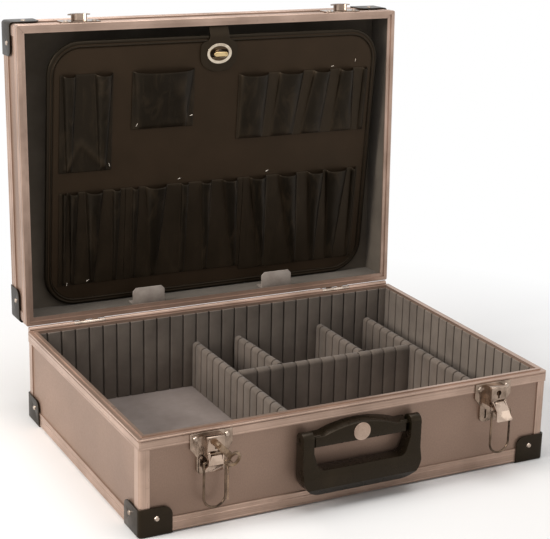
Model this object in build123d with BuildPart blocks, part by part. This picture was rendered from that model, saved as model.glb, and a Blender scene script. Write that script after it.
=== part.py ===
from build123d import *
import math
import os

os.makedirs("parts", exist_ok=True)

# Overall sizes of the closed case
case_w = 460.0
case_d = 330.0
base_h = 100.0
lid_h = 50.0
lid_open_angle = 91.6
half_w = case_w / 2
half_d = case_d / 2
top_z = base_h + lid_h

# Sheet metal, wall panels and linings
cap_t = 1.2
rail_t = 1.2
rail_step = 0.4
rim_gap = 0.15
tongue_z = base_h + 1.2
panel_t = 3.6
panel_r = rail_step + rail_t
lining_r = panel_r + panel_t
floor_z = 2 * cap_t
floor_top = floor_z + panel_t
floor_lining_t = 3.2
wall_lining_t = 4.8
lid_lining_t = 1.2
panel_top = base_h - 2.0
lid_panel_z = base_h + 3.2
corner_r = 3.0
mitre_gap = 0.15

# Groove pitch shared by the linings and the dividers
pitch = 16.2
groove_w = 1.8
groove_deep = 2.6

# Corner fittings
cap_front = 33.5
cap_side = 36.0
cap_tall = 29.0
cap_corner_r = 4.0
cap_free_r = 9.0
post_front = 10.5
post_side = 12.5
rail_leg_top = 16.2
rim_leg_z = base_h - 11.5
lid_leg_z = base_h + 11.5
rivet_in = 17.5
side_rivet_in = 22.0
rivet_z = 18.0
rivet_head_r = 2.7
rivet_head_t = 1.1
rivet_shank_r = 1.5
rivet_fit = 0.05

# Hinges
hinge_x = half_w - 73.0
hinge_y = half_d + 3.6
hinge_z = base_h
leaf_w = 37.0
leaf_t = 1.2
knuckle_r = 2.8
knuckle_n = 5
hinge_pin_r = 1.5
hinge_fit = 0.03

# Draw latches
latch_left_x = -half_w + 72.7
latch_right_x = half_w - 68.4
plate_t = 1.2
plate_top = base_h - 2.3
plate_low = base_h - 44.5
wing_hw = 21.9
wing_low = base_h - 17.5
plate_hw = 15.0
shoulder_z = base_h - 26.5
box_hw = 9.0
box_wall = 1.2
box_depth = 11.8
box_top = base_h - 3.8
box_low = base_h - 18.0
cheek_low = base_h - 25.0
keyhole_z = base_h - 10.6
keyhole_r = 2.9
lever_pivot_d = 11.0
lever_pivot_z = base_h - 21.0
lever_pin_r = 1.25
lever_t = 1.2
lever_hw = 7.6
lever_lip_hw = 9.9
lever_travel = 64.0
left_lever_turn = 55.0
bail_pivot_d = 17.4
bail_pivot_z = lever_pivot_z - 6.0
bail_wire_r = 1.15
bail_hw = 11.25
bail_len = 47.0
bail_end_x = 6.0
latched_wire_d = 5.2
running_fit = 0.05

# Carrying handle
bracket_hw = 54.4
bracket_front_hw = 51.5
bracket_d = 12.0
badge_r = 9.25
badge_t = 1.2
handle_pivot_d = 8.5
handle_pivot_z = base_h - 25.0
handle_pin_r = 2.5
arm_in = bracket_hw + 0.4
arm_w = 11.7
grip_hw = arm_in + arm_w
pin_deep = 9.4
pin_sink = 0.5
arm_r = 7.5
grip_drop = 60.5

# Dividers, with x or y of each centre plane
divider_t = 10.0
divider_top = base_h - 36.0
divider_foot = 9.5
slit_w = 1.6
slit_deep = 2.0
tongue_t = 1.2
divider_end_gap = 0.5
across_n = int((half_w - lining_r - wall_lining_t) / pitch)
along_n = int((half_d - lining_r - wall_lining_t) / pitch)
long_left_x = -2 * pitch
long_right_x = (across_n - 1) * pitch
cross_y = 3 * pitch
short_right_x = (across_n - 5) * pitch
skew_front_x = 25.3
skew_back_x = 21.0

# Tool pallet in the lid, in its own frame: p across, q up the board, n out of it
pallet_w = case_w - 53.0
pallet_h = case_d - 24.0
pocket_plan_w = 407.0
pocket_plan_h = 306.0
across = pallet_w / pocket_plan_w
up = pallet_h / pocket_plan_h
pallet_t = 4.0
pallet_x = 6.9
pallet_tilt = 6.85
pallet_pivot_v = 9.2
pallet_pivot_d = 40.0
piping_r = 2.5
pallet_corner_r = 38.0
web_t = 1.2
sleeve_t = 1.1
bracket_plate_t = 1.5


def block(x0, x1, y0, y1, z0, z1, mode=Mode.ADD):
    """Put a box between two corners into the part being built."""
    with Locations(((x0 + x1) / 2, (y0 + y1) / 2, (z0 + z1) / 2)):
        Box(abs(x1 - x0), abs(y1 - y0), abs(z1 - z0), mode=mode)


def front(d):
    """Y of a point that stands d in front of the case's front face."""
    return -half_d - d


def turned(point, angle):
    """Turn a (d, z) point about the lever's pivot, closing positive."""
    a = math.radians(-angle)
    dd = point[0] - lever_pivot_d
    dz = point[1] - lever_pivot_z
    return (
        lever_pivot_d + dd * math.cos(a) - dz * math.sin(a),
        lever_pivot_z + dd * math.sin(a) + dz * math.cos(a),
    )


def about_x(y, z, angle):
    """Location that turns a part about the X direction through (y, z)."""
    return Pos(0, y, z) * Rot(angle, 0, 0) * Pos(0, -y, -z)


def save(builder, name, place=None):
    """Label a finished piece and write its file, moved to its place."""
    if place is not None:
        builder.part = builder.part.moved(place)
    builder.part.label = name
    export_step(builder.part, f"parts/{name}.step")


# The lid is drawn closed, then swung open about the hinge pins
LID_OPEN = about_x(hinge_y, hinge_z, -lid_open_angle)
tilt = math.radians(pallet_tilt)
up_y = -math.cos(tilt)
up_z = -math.sin(tilt)
pallet_plane = Plane(
    origin=(
        pallet_x,
        half_d - pallet_pivot_v - piping_r * up_y,
        base_h + pallet_pivot_d - piping_r * up_z,
    ),
    x_dir=(1, 0, 0),
    z_dir=(0, math.sin(tilt), -math.cos(tilt)),
)
PALLET = LID_OPEN * pallet_plane.location

rail_plane = Plane(origin=(0, -half_d, 0), x_dir=(0, 1, 0), z_dir=(1, 0, 0))
rim_loop = [
    (0, -half_d),
    (half_w, -half_d),
    (half_w, half_d),
    (-half_w, half_d),
    (-half_w, -half_d),
]

base_rim_section = [
    (panel_r, rim_leg_z),
    (rail_step, rim_leg_z),
    (0, rim_leg_z + 0.4),
    (0, rim_leg_z + 1.6),
    (rail_step, rim_leg_z + 2.0),
    (rail_step, base_h - 3.4),
    (0, base_h - 3.0),
    (0, base_h - 2.6),
    (0.9, base_h - 2.6),
    (0.9, base_h - 1.8),
    (0, base_h - 1.8),
    (0, base_h - 0.75),
    (0.6, base_h - rim_gap),
    (5.0, base_h - rim_gap),
    (5.0, tongue_z),
    (8.5, tongue_z),
    (8.5, panel_top),
    (panel_r, panel_top),
]
lid_rim_section = [
    (panel_r, lid_leg_z),
    (rail_step, lid_leg_z),
    (0, lid_leg_z - 0.4),
    (0, lid_leg_z - 1.6),
    (rail_step, lid_leg_z - 2.0),
    (rail_step, base_h + 3.4),
    (0, base_h + 3.0),
    (0, base_h + 2.6),
    (0.9, base_h + 2.6),
    (0.9, base_h + 1.8),
    (0, base_h + 1.8),
    (0, base_h + 0.75),
    (0.6, base_h + rim_gap),
    (4.6, base_h + rim_gap),
    (4.6, tongue_z + 0.4),
    (9.0, tongue_z + 0.4),
    (9.0, lid_panel_z),
    (panel_r, lid_panel_z),
]
bottom_rail_section = [
    (0, cap_t),
    (14.0, cap_t),
    (14.0, floor_z),
    (panel_r, floor_z),
    (panel_r, rail_leg_top),
    (rail_step, rail_leg_top),
    (0, 15.8),
    (0, 14.4),
    (rail_step, 14.0),
    (rail_step, 11.2),
    (0, 10.9),
    (0, 10.3),
    (rail_step, 10.0),
    (rail_step, 3.6),
    (0, 3.2),
]


def cut_mitres(z0, z1):
    """Part a rail into four lengths with a thin cut across each corner."""
    for sx in (-1, 1):
        for sy in (-1, 1):
            angle = 45 if sx * sy > 0 else -45
            with Locations(Location((sx * half_w, sy * half_d, (z0 + z1) / 2), (0, 0, angle))):
                Box(60, mitre_gap, z1 - z0 + 2, mode=Mode.SUBTRACT)


# Rim rail round the base, with its tongue
with BuildPart() as base_rim_rail:
    with BuildLine() as base_rim_path:
        Polyline(*rim_loop, close=True)
    with BuildSketch(rail_plane):
        with BuildLine():
            Polyline(*base_rim_section, close=True)
        make_face()
    sweep(path=base_rim_path.wires()[0], transition=Transition.RIGHT)
    with BuildSketch():
        RectangleRounded(case_w, case_d, corner_r)
    extrude(amount=top_z, mode=Mode.INTERSECT)
    cut_mitres(rim_leg_z, tongue_z)
save(base_rim_rail, "base_rim_rail")

# Rim rail round the lid
with BuildPart() as lid_rim_rail:
    with BuildLine() as lid_rim_path:
        Polyline(*rim_loop, close=True)
    with BuildSketch(rail_plane):
        with BuildLine():
            Polyline(*lid_rim_section, close=True)
        make_face()
    sweep(path=lid_rim_path.wires()[0], transition=Transition.RIGHT)
    with BuildSketch():
        RectangleRounded(case_w, case_d, corner_r)
    extrude(amount=top_z, mode=Mode.INTERSECT)
    cut_mitres(base_h, lid_leg_z + 0.5)
save(lid_rim_rail, "lid_rim_rail", LID_OPEN)

# Edge rail round the bottom of the base
with BuildPart() as base_bottom_rail:
    with BuildLine() as bottom_path:
        Polyline(*rim_loop, close=True)
    with BuildSketch(rail_plane):
        with BuildLine():
            Polyline(*bottom_rail_section, close=True)
        make_face()
    sweep(path=bottom_path.wires()[0], transition=Transition.RIGHT)
    with BuildSketch():
        RectangleRounded(case_w, case_d, corner_r)
    extrude(amount=top_z, mode=Mode.INTERSECT)
    under = base_bottom_rail.faces().sort_by(Axis.Z)[0]
    chamfer(under.outer_wire().edges(), 0.9)
    cut_mitres(0, rail_leg_top)
save(base_bottom_rail, "base_bottom_rail")

# The same rail round the top of the lid
with BuildPart() as lid_edge_rail:
    add(base_bottom_rail.part.mirror(Plane.XY.offset(top_z / 2)))
save(lid_edge_rail, "lid_edge_rail", LID_OPEN)

# Base panels
with BuildPart() as base_bottom_panel:
    block(
        -half_w + panel_r, half_w - panel_r, -half_d + panel_r, half_d - panel_r, floor_z, floor_top
    )
save(base_bottom_panel, "base_bottom_panel")

with BuildPart() as base_front_panel:
    block(
        -half_w + panel_r, half_w - panel_r, -half_d + panel_r, -half_d + lining_r, floor_top, panel_top
    )
    corners = base_front_panel.edges().filter_by(Axis.Z).group_by(Axis.Y)[0]
    fillet(corners, corner_r)
    for sx in (-1, 1):
        with Locations(Location((sx * (half_w - rivet_in), -half_d, rivet_z), (90, 0, 0))):
            Cylinder(rivet_shank_r + rivet_fit, 20, mode=Mode.SUBTRACT)
save(base_front_panel, "base_front_panel")

with BuildPart() as base_back_panel:
    add(base_front_panel.part.mirror(Plane.XZ))
save(base_back_panel, "base_back_panel")

with BuildPart() as base_side_panels:
    block(
        -half_w + panel_r, -half_w + lining_r, -half_d + lining_r, half_d - lining_r, floor_top, panel_top
    )
    for sy in (-1, 1):
        with Locations(Location((-half_w, sy * (half_d - side_rivet_in), rivet_z), (0, 90, 0))):
            Cylinder(rivet_shank_r + rivet_fit, 20, mode=Mode.SUBTRACT)
    mirror(about=Plane.YZ)
save(base_side_panels, "base_side_panels")

# Lid panels
with BuildPart() as lid_top_panel:
    block(
        -half_w + panel_r,
        half_w - panel_r,
        -half_d + panel_r,
        half_d - panel_r,
        top_z - floor_top,
        top_z - floor_z,
    )
save(lid_top_panel, "lid_top_panel", LID_OPEN)

with BuildPart() as lid_front_panel:
    block(
        -half_w + panel_r,
        half_w - panel_r,
        -half_d + panel_r,
        -half_d + lining_r,
        lid_panel_z,
        top_z - floor_top,
    )
    corners = lid_front_panel.edges().filter_by(Axis.Z).group_by(Axis.Y)[0]
    fillet(corners, corner_r)
    for sx in (-1, 1):
        with Locations(Location((sx * (half_w - rivet_in), -half_d, top_z - rivet_z), (90, 0, 0))):
            Cylinder(rivet_shank_r + rivet_fit, 20, mode=Mode.SUBTRACT)
with BuildPart() as lid_back_panel:
    add(lid_front_panel.part.mirror(Plane.XZ))
save(lid_front_panel, "lid_front_panel", LID_OPEN)
save(lid_back_panel, "lid_back_panel", LID_OPEN)

with BuildPart() as lid_side_panels:
    block(
        -half_w + panel_r,
        -half_w + lining_r,
        -half_d + lining_r,
        half_d - lining_r,
        lid_panel_z,
        top_z - floor_top,
    )
    for sy in (-1, 1):
        with Locations(Location((-half_w, sy * (half_d - side_rivet_in), top_z - rivet_z), (0, 90, 0))):
            Cylinder(rivet_shank_r + rivet_fit, 20, mode=Mode.SUBTRACT)
    mirror(about=Plane.YZ)
save(lid_side_panels, "lid_side_panels", LID_OPEN)

# Corner posts up the four corners of the base
with BuildPart() as base_corner_posts:
    for sx in (-1, 1):
        for sy in (-1, 1):
            with BuildSketch(Plane.XY.offset(rail_leg_top)):
                with Locations((sx * (half_w - rail_step), sy * (half_d - rail_step))):
                    RectangleRounded(2 * post_front, 2 * post_side, cap_corner_r)
            extrude(amount=rim_leg_z - rail_leg_top)
    with BuildSketch(Plane.XY.offset(rail_leg_top)):
        RectangleRounded(case_w - 2 * rail_step, case_d - 2 * rail_step, cap_corner_r)
    extrude(amount=rim_leg_z - rail_leg_top, mode=Mode.INTERSECT)
    with BuildSketch(Plane.XY.offset(rail_leg_top)):
        RectangleRounded(case_w - 2 * panel_r, case_d - 2 * panel_r, cap_corner_r - rail_t)
    extrude(amount=rim_leg_z - rail_leg_top, mode=Mode.SUBTRACT)
save(base_corner_posts, "base_corner_posts")


with BuildPart() as lid_corner_posts:
    for sx in (-1, 1):
        for sy in (-1, 1):
            with BuildSketch(Plane.XY.offset(lid_leg_z)):
                with Locations((sx * (half_w - rail_step), sy * (half_d - rail_step))):
                    RectangleRounded(2 * post_front, 2 * post_side, cap_corner_r)
            extrude(amount=top_z - rail_leg_top - lid_leg_z)
    with BuildSketch(Plane.XY.offset(lid_leg_z)):
        RectangleRounded(case_w - 2 * rail_step, case_d - 2 * rail_step, cap_corner_r)
    extrude(amount=lid_h, mode=Mode.INTERSECT)
    with BuildSketch(Plane.XY.offset(lid_leg_z)):
        RectangleRounded(case_w - 2 * panel_r, case_d - 2 * panel_r, cap_corner_r - rail_t)
    extrude(amount=lid_h, mode=Mode.SUBTRACT)
save(lid_corner_posts, "lid_corner_posts", LID_OPEN)

# One corner cap, at the left front of the base
with BuildPart() as one_cap:
    block(
        -half_w - cap_t,
        -half_w + cap_front,
        -half_d - cap_t,
        -half_d + cap_side,
        0,
        cap_tall,
    )
    outer_upright = one_cap.edges().filter_by(Axis.Z).sort_by(Axis.X)[:2].sort_by(Axis.Y)[0]
    fillet(outer_upright, cap_corner_r)
    low_face = one_cap.faces().sort_by(Axis.Z)[0]
    low_outer = [
        e
        for e in low_face.edges()
        if e.center().X < -half_w + cap_front - 1 and e.center().Y < -half_d + cap_side - 1
    ]
    fillet(low_outer, cap_t + 0.8)
    with BuildSketch(Plane.XY.offset(cap_t)):
        with Locations((-half_w + 50, -half_d + 50)):
            RectangleRounded(100, 100, cap_corner_r - cap_t)
    extrude(amount=cap_tall, mode=Mode.SUBTRACT)
    free_corners = [
        e
        for e in one_cap.edges()
        if (e.center() - Vector(-half_w + cap_front, -half_d - cap_t / 2, cap_tall)).length < 0.3
        or (e.center() - Vector(-half_w - cap_t / 2, -half_d + cap_side, cap_tall)).length < 0.3
        or (e.center() - Vector(-half_w + cap_front, -half_d + cap_side, cap_t / 2)).length < 0.3
    ]
    fillet(free_corners, cap_free_r)
    with Locations(
        Location((-half_w + rivet_in, -half_d, rivet_z), (90, 0, 0)),
        Location((-half_w, -half_d + side_rivet_in, rivet_z), (0, 90, 0)),
    ):
        Cylinder(rivet_shank_r + rivet_fit, 6, mode=Mode.SUBTRACT)

with BuildPart() as one_rivet_pair:
    with BuildSketch(Plane.XZ.offset(half_d - lining_r + 1.0)):
        with Locations((-half_w + rivet_in, rivet_z)):
            Circle(rivet_shank_r)
    extrude(amount=lining_r + cap_t - 1.0)
    with BuildSketch(Plane.XZ.offset(half_d + cap_t)):
        with Locations((-half_w + rivet_in, rivet_z)):
            Circle(rivet_head_r)
    extrude(amount=rivet_head_t, taper=32)
    with BuildSketch(Plane.YZ.offset(-half_w - cap_t)):
        with Locations((-half_d + side_rivet_in, rivet_z)):
            Circle(rivet_shank_r)
    extrude(amount=lining_r + cap_t - 1.0)
    with BuildSketch(Plane.YZ.offset(-half_w - cap_t)):
        with Locations((-half_d + side_rivet_in, rivet_z)):
            Circle(rivet_head_r)
    extrude(amount=-rivet_head_t, taper=32)


# The four caps and rivet pairs of the base, then those of the lid
with BuildPart() as base_corner_caps:
    add(one_cap.part)
    mirror(about=Plane.YZ)
    mirror(about=Plane.XZ)
with BuildPart() as base_cap_rivets:
    add(one_rivet_pair.part)
    mirror(about=Plane.YZ)
    mirror(about=Plane.XZ)
with BuildPart() as lid_corner_caps:
    add(base_corner_caps.part.mirror(Plane.XY.offset(top_z / 2)))
with BuildPart() as lid_cap_rivets:
    add(base_cap_rivets.part.mirror(Plane.XY.offset(top_z / 2)))
save(base_corner_caps, "base_corner_caps")
save(lid_corner_caps, "lid_corner_caps", LID_OPEN)

# Smooth lining on the floor of the base
inner_x = half_w - lining_r
inner_y = half_d - lining_r
with BuildPart() as floor_lining:
    block(-inner_x, inner_x, -inner_y, inner_y, floor_top, floor_top + floor_lining_t)
save(floor_lining, "floor_lining")

# Slotted linings on the base walls
lining_low = floor_top + floor_lining_t
face_x = inner_x - wall_lining_t
face_y = inner_y - wall_lining_t
with BuildPart() as lining_front:
    block(-inner_x, inner_x, -inner_y, -face_y, lining_low, panel_top)
    with Locations((0, -face_y - groove_deep / 2, (lining_low + panel_top) / 2)):
        with GridLocations(pitch, 1, 2 * across_n + 1, 1):
            Box(groove_w, groove_deep, panel_top - lining_low, mode=Mode.SUBTRACT)
with BuildPart() as lining_back:
    add(lining_front.part.mirror(Plane.XZ))
with BuildPart() as lining_left:
    block(-inner_x, -face_x, -face_y, face_y, lining_low, panel_top)
    with Locations((-face_x - groove_deep / 2, 0, (lining_low + panel_top) / 2)):
        with GridLocations(1, pitch, 1, 2 * along_n + 1):
            Box(groove_deep, groove_w, panel_top - lining_low, mode=Mode.SUBTRACT)
with BuildPart() as lining_right:
    add(lining_left.part.mirror(Plane.YZ))
save(lining_front, "lining_front")
save(lining_back, "lining_back")
save(lining_left, "lining_left")
save(lining_right, "lining_right")

# Thin lining inside the lid: its flat back, and a frame round its walls
lid_lining_top = top_z - floor_top
with BuildPart() as lid_back_lining:
    block(-inner_x, inner_x, -inner_y, inner_y, lid_lining_top - lid_lining_t, lid_lining_top)
with BuildPart() as lid_wall_lining:
    block(-inner_x, inner_x, -inner_y, inner_y, lid_panel_z, lid_lining_top - lid_lining_t)
    block(
        -inner_x + lid_lining_t,
        inner_x - lid_lining_t,
        -inner_y + lid_lining_t,
        inner_y - lid_lining_t,
        lid_panel_z,
        lid_lining_top,
        mode=Mode.SUBTRACT,
    )
save(lid_back_lining, "lid_back_lining", LID_OPEN)
save(lid_wall_lining, "lid_wall_lining", LID_OPEN)

# Hinges: leaves stepped from the rim to the wall, with five knuckles
knuckle_len = leaf_w / knuckle_n
leaf_low = base_h - 32.0
leaf_step = base_h - 13.0
leaf_high = base_h - 2.8
with BuildPart() as hinge_leaves_base:
    for sx in (-1, 1):
        x0 = sx * hinge_x - leaf_w / 2
        x1 = sx * hinge_x + leaf_w / 2
        block(x0, x1, half_d, half_d + leaf_t, leaf_step, leaf_high)
        block(x0, x1, half_d - panel_r, half_d + leaf_t, leaf_step, leaf_step + leaf_t)
        block(x0, x1, half_d - panel_r, half_d - panel_r + leaf_t, leaf_low, leaf_step)
        for n in range(0, knuckle_n, 2):
            k0 = x0 + n * knuckle_len
            block(k0, k0 + knuckle_len, half_d, hinge_y, hinge_z - knuckle_r, hinge_z - knuckle_r + leaf_t)
            with Locations(Location((k0 + knuckle_len / 2, hinge_y, hinge_z), (0, 90, 0))):
                Cylinder(knuckle_r, knuckle_len)
        with Locations(Location((sx * hinge_x, hinge_y, hinge_z), (0, 90, 0))):
            Cylinder(hinge_pin_r, leaf_w, mode=Mode.SUBTRACT)
        for n in range(1, knuckle_n, 2):
            k0 = x0 + n * knuckle_len
            block(k0 - 0.1, k0 + knuckle_len + 0.1, half_d + leaf_t, hinge_y + 3, base_h - 4, base_h + 4, mode=Mode.SUBTRACT)
save(hinge_leaves_base, "hinge_leaves_base")

with BuildPart() as hinge_leaves_lid:
    for sx in (-1, 1):
        x0 = sx * hinge_x - leaf_w / 2
        x1 = sx * hinge_x + leaf_w / 2
        z_up = 2 * hinge_z
        block(x0, x1, half_d, half_d + leaf_t, z_up - leaf_high, z_up - leaf_step)
        block(x0, x1, half_d - panel_r, half_d + leaf_t, z_up - leaf_step - leaf_t, z_up - leaf_step)
        block(x0, x1, half_d - panel_r, half_d - panel_r + leaf_t, z_up - leaf_step, z_up - leaf_low)
        for n in range(1, knuckle_n, 2):
            k0 = x0 + n * knuckle_len + 0.1
            k1 = x0 + (n + 1) * knuckle_len - 0.1
            block(k0, k1, half_d, hinge_y, hinge_z + knuckle_r - leaf_t, hinge_z + knuckle_r)
            with Locations(Location(((k0 + k1) / 2, hinge_y, hinge_z), (0, 90, 0))):
                Cylinder(knuckle_r, k1 - k0)
        with Locations(Location((sx * hinge_x, hinge_y, hinge_z), (0, 90, 0))):
            Cylinder(hinge_pin_r + hinge_fit, leaf_w, mode=Mode.SUBTRACT)
        for n in range(0, knuckle_n, 2):
            k0 = x0 + n * knuckle_len
            block(k0 - 0.1, k0 + knuckle_len + 0.1, half_d + leaf_t, hinge_y + 3, base_h - 4, base_h + 4, mode=Mode.SUBTRACT)
save(hinge_leaves_lid, "hinge_leaves_lid", LID_OPEN)

with BuildPart() as hinge_pins:
    for sx in (-1, 1):
        with Locations(Location((sx * hinge_x, hinge_y, hinge_z), (0, 90, 0))):
            Cylinder(hinge_pin_r, leaf_w + 1.0)
        for end in (-1, 1):
            with Locations(Location((sx * hinge_x + end * (leaf_w / 2 + 0.45), hinge_y, hinge_z), (0, 90, 0))):
                Cylinder(hinge_pin_r + 0.6, 0.7)
save(hinge_pins, "hinge_pins")

# Latch plate with its turned skirt, drawn at x = 0
plate_rivet_x = 16.2
plate_rivet_z = base_h - 8.0
plate_points = [
    (-wing_hw, plate_top),
    (-wing_hw, wing_low),
    (-plate_hw, shoulder_z),
    (-plate_hw, plate_low),
    (plate_hw, plate_low),
    (plate_hw, shoulder_z),
    (wing_hw, wing_low),
    (wing_hw, plate_top),
]
with BuildPart() as plate_shape:
    with BuildSketch(Plane.XZ.offset(half_d)) as plate_outline:
        Polygon(*plate_points, align=None)
        fillet(plate_outline.vertices().group_by(Axis.Y)[0], 5.0)
        fillet(plate_outline.vertices().group_by(Axis.Y)[-1], 1.2)
        with Locations((-8, plate_low + 8.5), (8, plate_low + 8.5)):
            Rectangle(2, 10, mode=Mode.SUBTRACT)
        with Locations((-plate_rivet_x, plate_rivet_z), (plate_rivet_x, plate_rivet_z)):
            Circle(rivet_shank_r + rivet_fit, mode=Mode.SUBTRACT)
    extrude(amount=plate_t)
    with BuildSketch(Plane.XZ.offset(half_d - panel_r)) as skirt_outline:
        Polygon(*plate_points, align=None)
        fillet(skirt_outline.vertices().group_by(Axis.Y)[0], 5.0)
        offset(amount=-plate_t, mode=Mode.SUBTRACT)
        with Locations((0, rim_leg_z + 10)):
            Rectangle(60, 20, mode=Mode.SUBTRACT)
    extrude(amount=panel_r)

# Lock box over the plate: open at the back and below, with two cheeks
with BuildPart() as box_shape:
    with BuildSketch(Plane.YZ) as box_side:
        Polygon(
            (front(plate_t), cheek_low),
            (front(13.0), cheek_low),
            (front(13.4), cheek_low + 1.5),
            (front(13.4), box_low - 1.4),
            (front(box_depth), box_low),
            (front(box_depth), box_top),
            (front(plate_t), box_top),
            align=None,
        )
    extrude(amount=box_hw, both=True)
    top_edge = box_shape.edges().filter_by(Axis.X).group_by(Axis.Z)[-1].sort_by(Axis.Y)[0]
    fillet(top_edge, 1.5)
    block(
        -box_hw + box_wall,
        box_hw - box_wall,
        front(box_depth - box_wall),
        front(plate_t),
        cheek_low,
        box_top - box_wall,
        mode=Mode.SUBTRACT,
    )
    block(
        -box_hw + box_wall, box_hw - box_wall, front(15), front(plate_t), cheek_low, box_low, mode=Mode.SUBTRACT
    )
    with BuildSketch(Plane.XZ.offset(half_d)):
        with Locations((0, keyhole_z)):
            Circle(keyhole_r)
        with Locations((0, keyhole_z - 3.4)):
            Rectangle(2.2, 4.6)
    extrude(amount=20, mode=Mode.SUBTRACT)
    with Locations(Location((0, front(lever_pivot_d), lever_pivot_z), (0, 90, 0))):
        Cylinder(lever_pin_r, 30, mode=Mode.SUBTRACT)

# Lever of a latch, drawn open: a web, a flared lip and two flanges
with BuildPart() as lever_open:
    with BuildSketch(Plane.YZ):
        Polygon(
            (front(13.6), lever_pivot_z + 1.2),
            (front(21.2), lever_pivot_z - 6.1),
            (front(22.4), lever_pivot_z - 10.6),
            (front(25.3), lever_pivot_z - 15.7),
            (front(24.3), lever_pivot_z - 16.3),
            (front(21.3), lever_pivot_z - 11.0),
            (front(20.1), lever_pivot_z - 6.7),
            (front(12.8), lever_pivot_z + 0.3),
            align=None,
        )
    extrude(amount=12, both=True)
    with BuildSketch(Plane.XZ.offset(half_d)) as lever_outline:
        Polygon(
            (-5.0, lever_pivot_z + 1.5),
            (-lever_hw, lever_pivot_z - 6.1),
            (-8.5, lever_pivot_z - 10.6),
            (-lever_lip_hw, lever_pivot_z - 14.6),
            (-8.0, lever_pivot_z - 16.2),
            (-3.0, lever_pivot_z - 17.0),
            (3.0, lever_pivot_z - 17.0),
            (8.0, lever_pivot_z - 16.2),
            (lever_lip_hw, lever_pivot_z - 14.6),
            (8.5, lever_pivot_z - 10.6),
            (lever_hw, lever_pivot_z - 6.1),
            (5.0, lever_pivot_z + 1.5),
            align=None,
        )
    extrude(amount=40, mode=Mode.INTERSECT)
    for sx in (-1, 1):
        with BuildSketch(Plane.YZ.offset(sx * (lever_hw - lever_t / 2))):
            Polygon(
                (front(11.0), lever_pivot_z + 2.4),
                (front(13.6), lever_pivot_z + 1.2),
                (front(21.2), lever_pivot_z - 6.1),
                (front(22.4), lever_pivot_z - 10.6),
                (front(17.0), lever_pivot_z - 8.6),
                (front(10.0), lever_pivot_z - 2.2),
                align=None,
            )
            with Locations((front(lever_pivot_d), lever_pivot_z)):
                Circle(2.4)
        extrude(amount=lever_t / 2, both=True)
    with Locations(Location((0, front(lever_pivot_d), lever_pivot_z), (0, 90, 0))):
        Cylinder(lever_pin_r + running_fit, 30, mode=Mode.SUBTRACT)
    with Locations(Location((0, front(bail_pivot_d), bail_pivot_z), (0, 90, 0))):
        Cylinder(bail_wire_r + running_fit, 30, mode=Mode.SUBTRACT)

# Bail wire, drawn hanging from the open lever
bail_turn_r = 2.0
bail_arc_z = bail_pivot_z - bail_len + bail_hw
with BuildPart() as bail_open:
    with BuildLine(Plane.XZ.offset(-front(bail_pivot_d))) as bail_path:
        leg_r = Line((bail_end_x, bail_pivot_z), (bail_hw - bail_turn_r, bail_pivot_z))
        bend_r = JernArc(leg_r @ 1, leg_r % 1, bail_turn_r, -90)
        down_r = Line(bend_r @ 1, (bail_hw, bail_arc_z))
        bottom = ThreePointArc(
            (bail_hw, bail_arc_z), (0, bail_pivot_z - bail_len), (-bail_hw, bail_arc_z)
        )
        up_l = Line((-bail_hw, bail_arc_z), (-bail_hw, bail_pivot_z - bail_turn_r))
        bend_l = JernArc(up_l @ 1, up_l % 1, bail_turn_r, -90)
        leg_l = Line(bend_l @ 1, (-bail_end_x, bail_pivot_z))
    with BuildSketch(Plane.YZ.offset(bail_end_x)):
        with Locations((front(bail_pivot_d), bail_pivot_z)):
            Circle(bail_wire_r)
    sweep(path=bail_path.wires()[0])

# Catch on the lid for a bail, drawn closed at x = 0
closed_pivot = turned((bail_pivot_d, bail_pivot_z), lever_travel)
latched_wire_z = closed_pivot[1] + math.sqrt(bail_len**2 - (closed_pivot[0] - latched_wire_d) ** 2)
ledge_top = latched_wire_z - bail_wire_r - 0.1
strike_low = base_h + 2.3
catch_rivet_z = base_h + 7.5
strike_high = ledge_top + 6.0
strike_hw = wing_hw
hook_r = bail_hw - bail_wire_r - 0.1
hook_t = 1.2
hook_mid_z = ledge_top - hook_r
hook_foot_z = hook_mid_z + 4.4
lip_rise = 3.4
lip_d = latched_wire_d + bail_wire_r + 0.8
with BuildPart() as strike_shape:
    with BuildSketch(Plane.XZ.offset(half_d)) as strike_outline:
        with Locations((0, (strike_low + strike_high) / 2)):
            Rectangle(2 * strike_hw, strike_high - strike_low)
        fillet(strike_outline.vertices().group_by(Axis.Y)[-1], 4.0)
        fillet(strike_outline.vertices().group_by(Axis.Y)[0], 1.2)
        with Locations((-plate_rivet_x, catch_rivet_z), (plate_rivet_x, catch_rivet_z)):
            Circle(rivet_shank_r + rivet_fit, mode=Mode.SUBTRACT)
    extrude(amount=plate_t)
    with BuildSketch(Plane.XZ.offset(half_d - panel_r)) as strike_skirt:
        with Locations((0, (strike_low + strike_high) / 2)):
            Rectangle(2 * strike_hw, strike_high - strike_low)
        fillet(strike_skirt.vertices().group_by(Axis.Y)[-1], 4.0)
        offset(amount=-plate_t, mode=Mode.SUBTRACT)
        with Locations((0, lid_leg_z - 10)):
            Rectangle(60, 20, mode=Mode.SUBTRACT)
    extrude(amount=panel_r)
    for start, reach, rise in ((plate_t, lip_d + hook_t, 0), (lip_d, lip_d + hook_t, lip_rise)):
        with BuildSketch(Plane.XZ.offset(half_d + start)):
            with Locations((0, hook_mid_z)):
                Circle(hook_r + rise)
                Circle(hook_r - hook_t, mode=Mode.SUBTRACT)
            with Locations((0, hook_foot_z + hook_r)):
                Rectangle(2 * wing_hw, 2 * hook_r, mode=Mode.INTERSECT)
        extrude(amount=reach - start)

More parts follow.
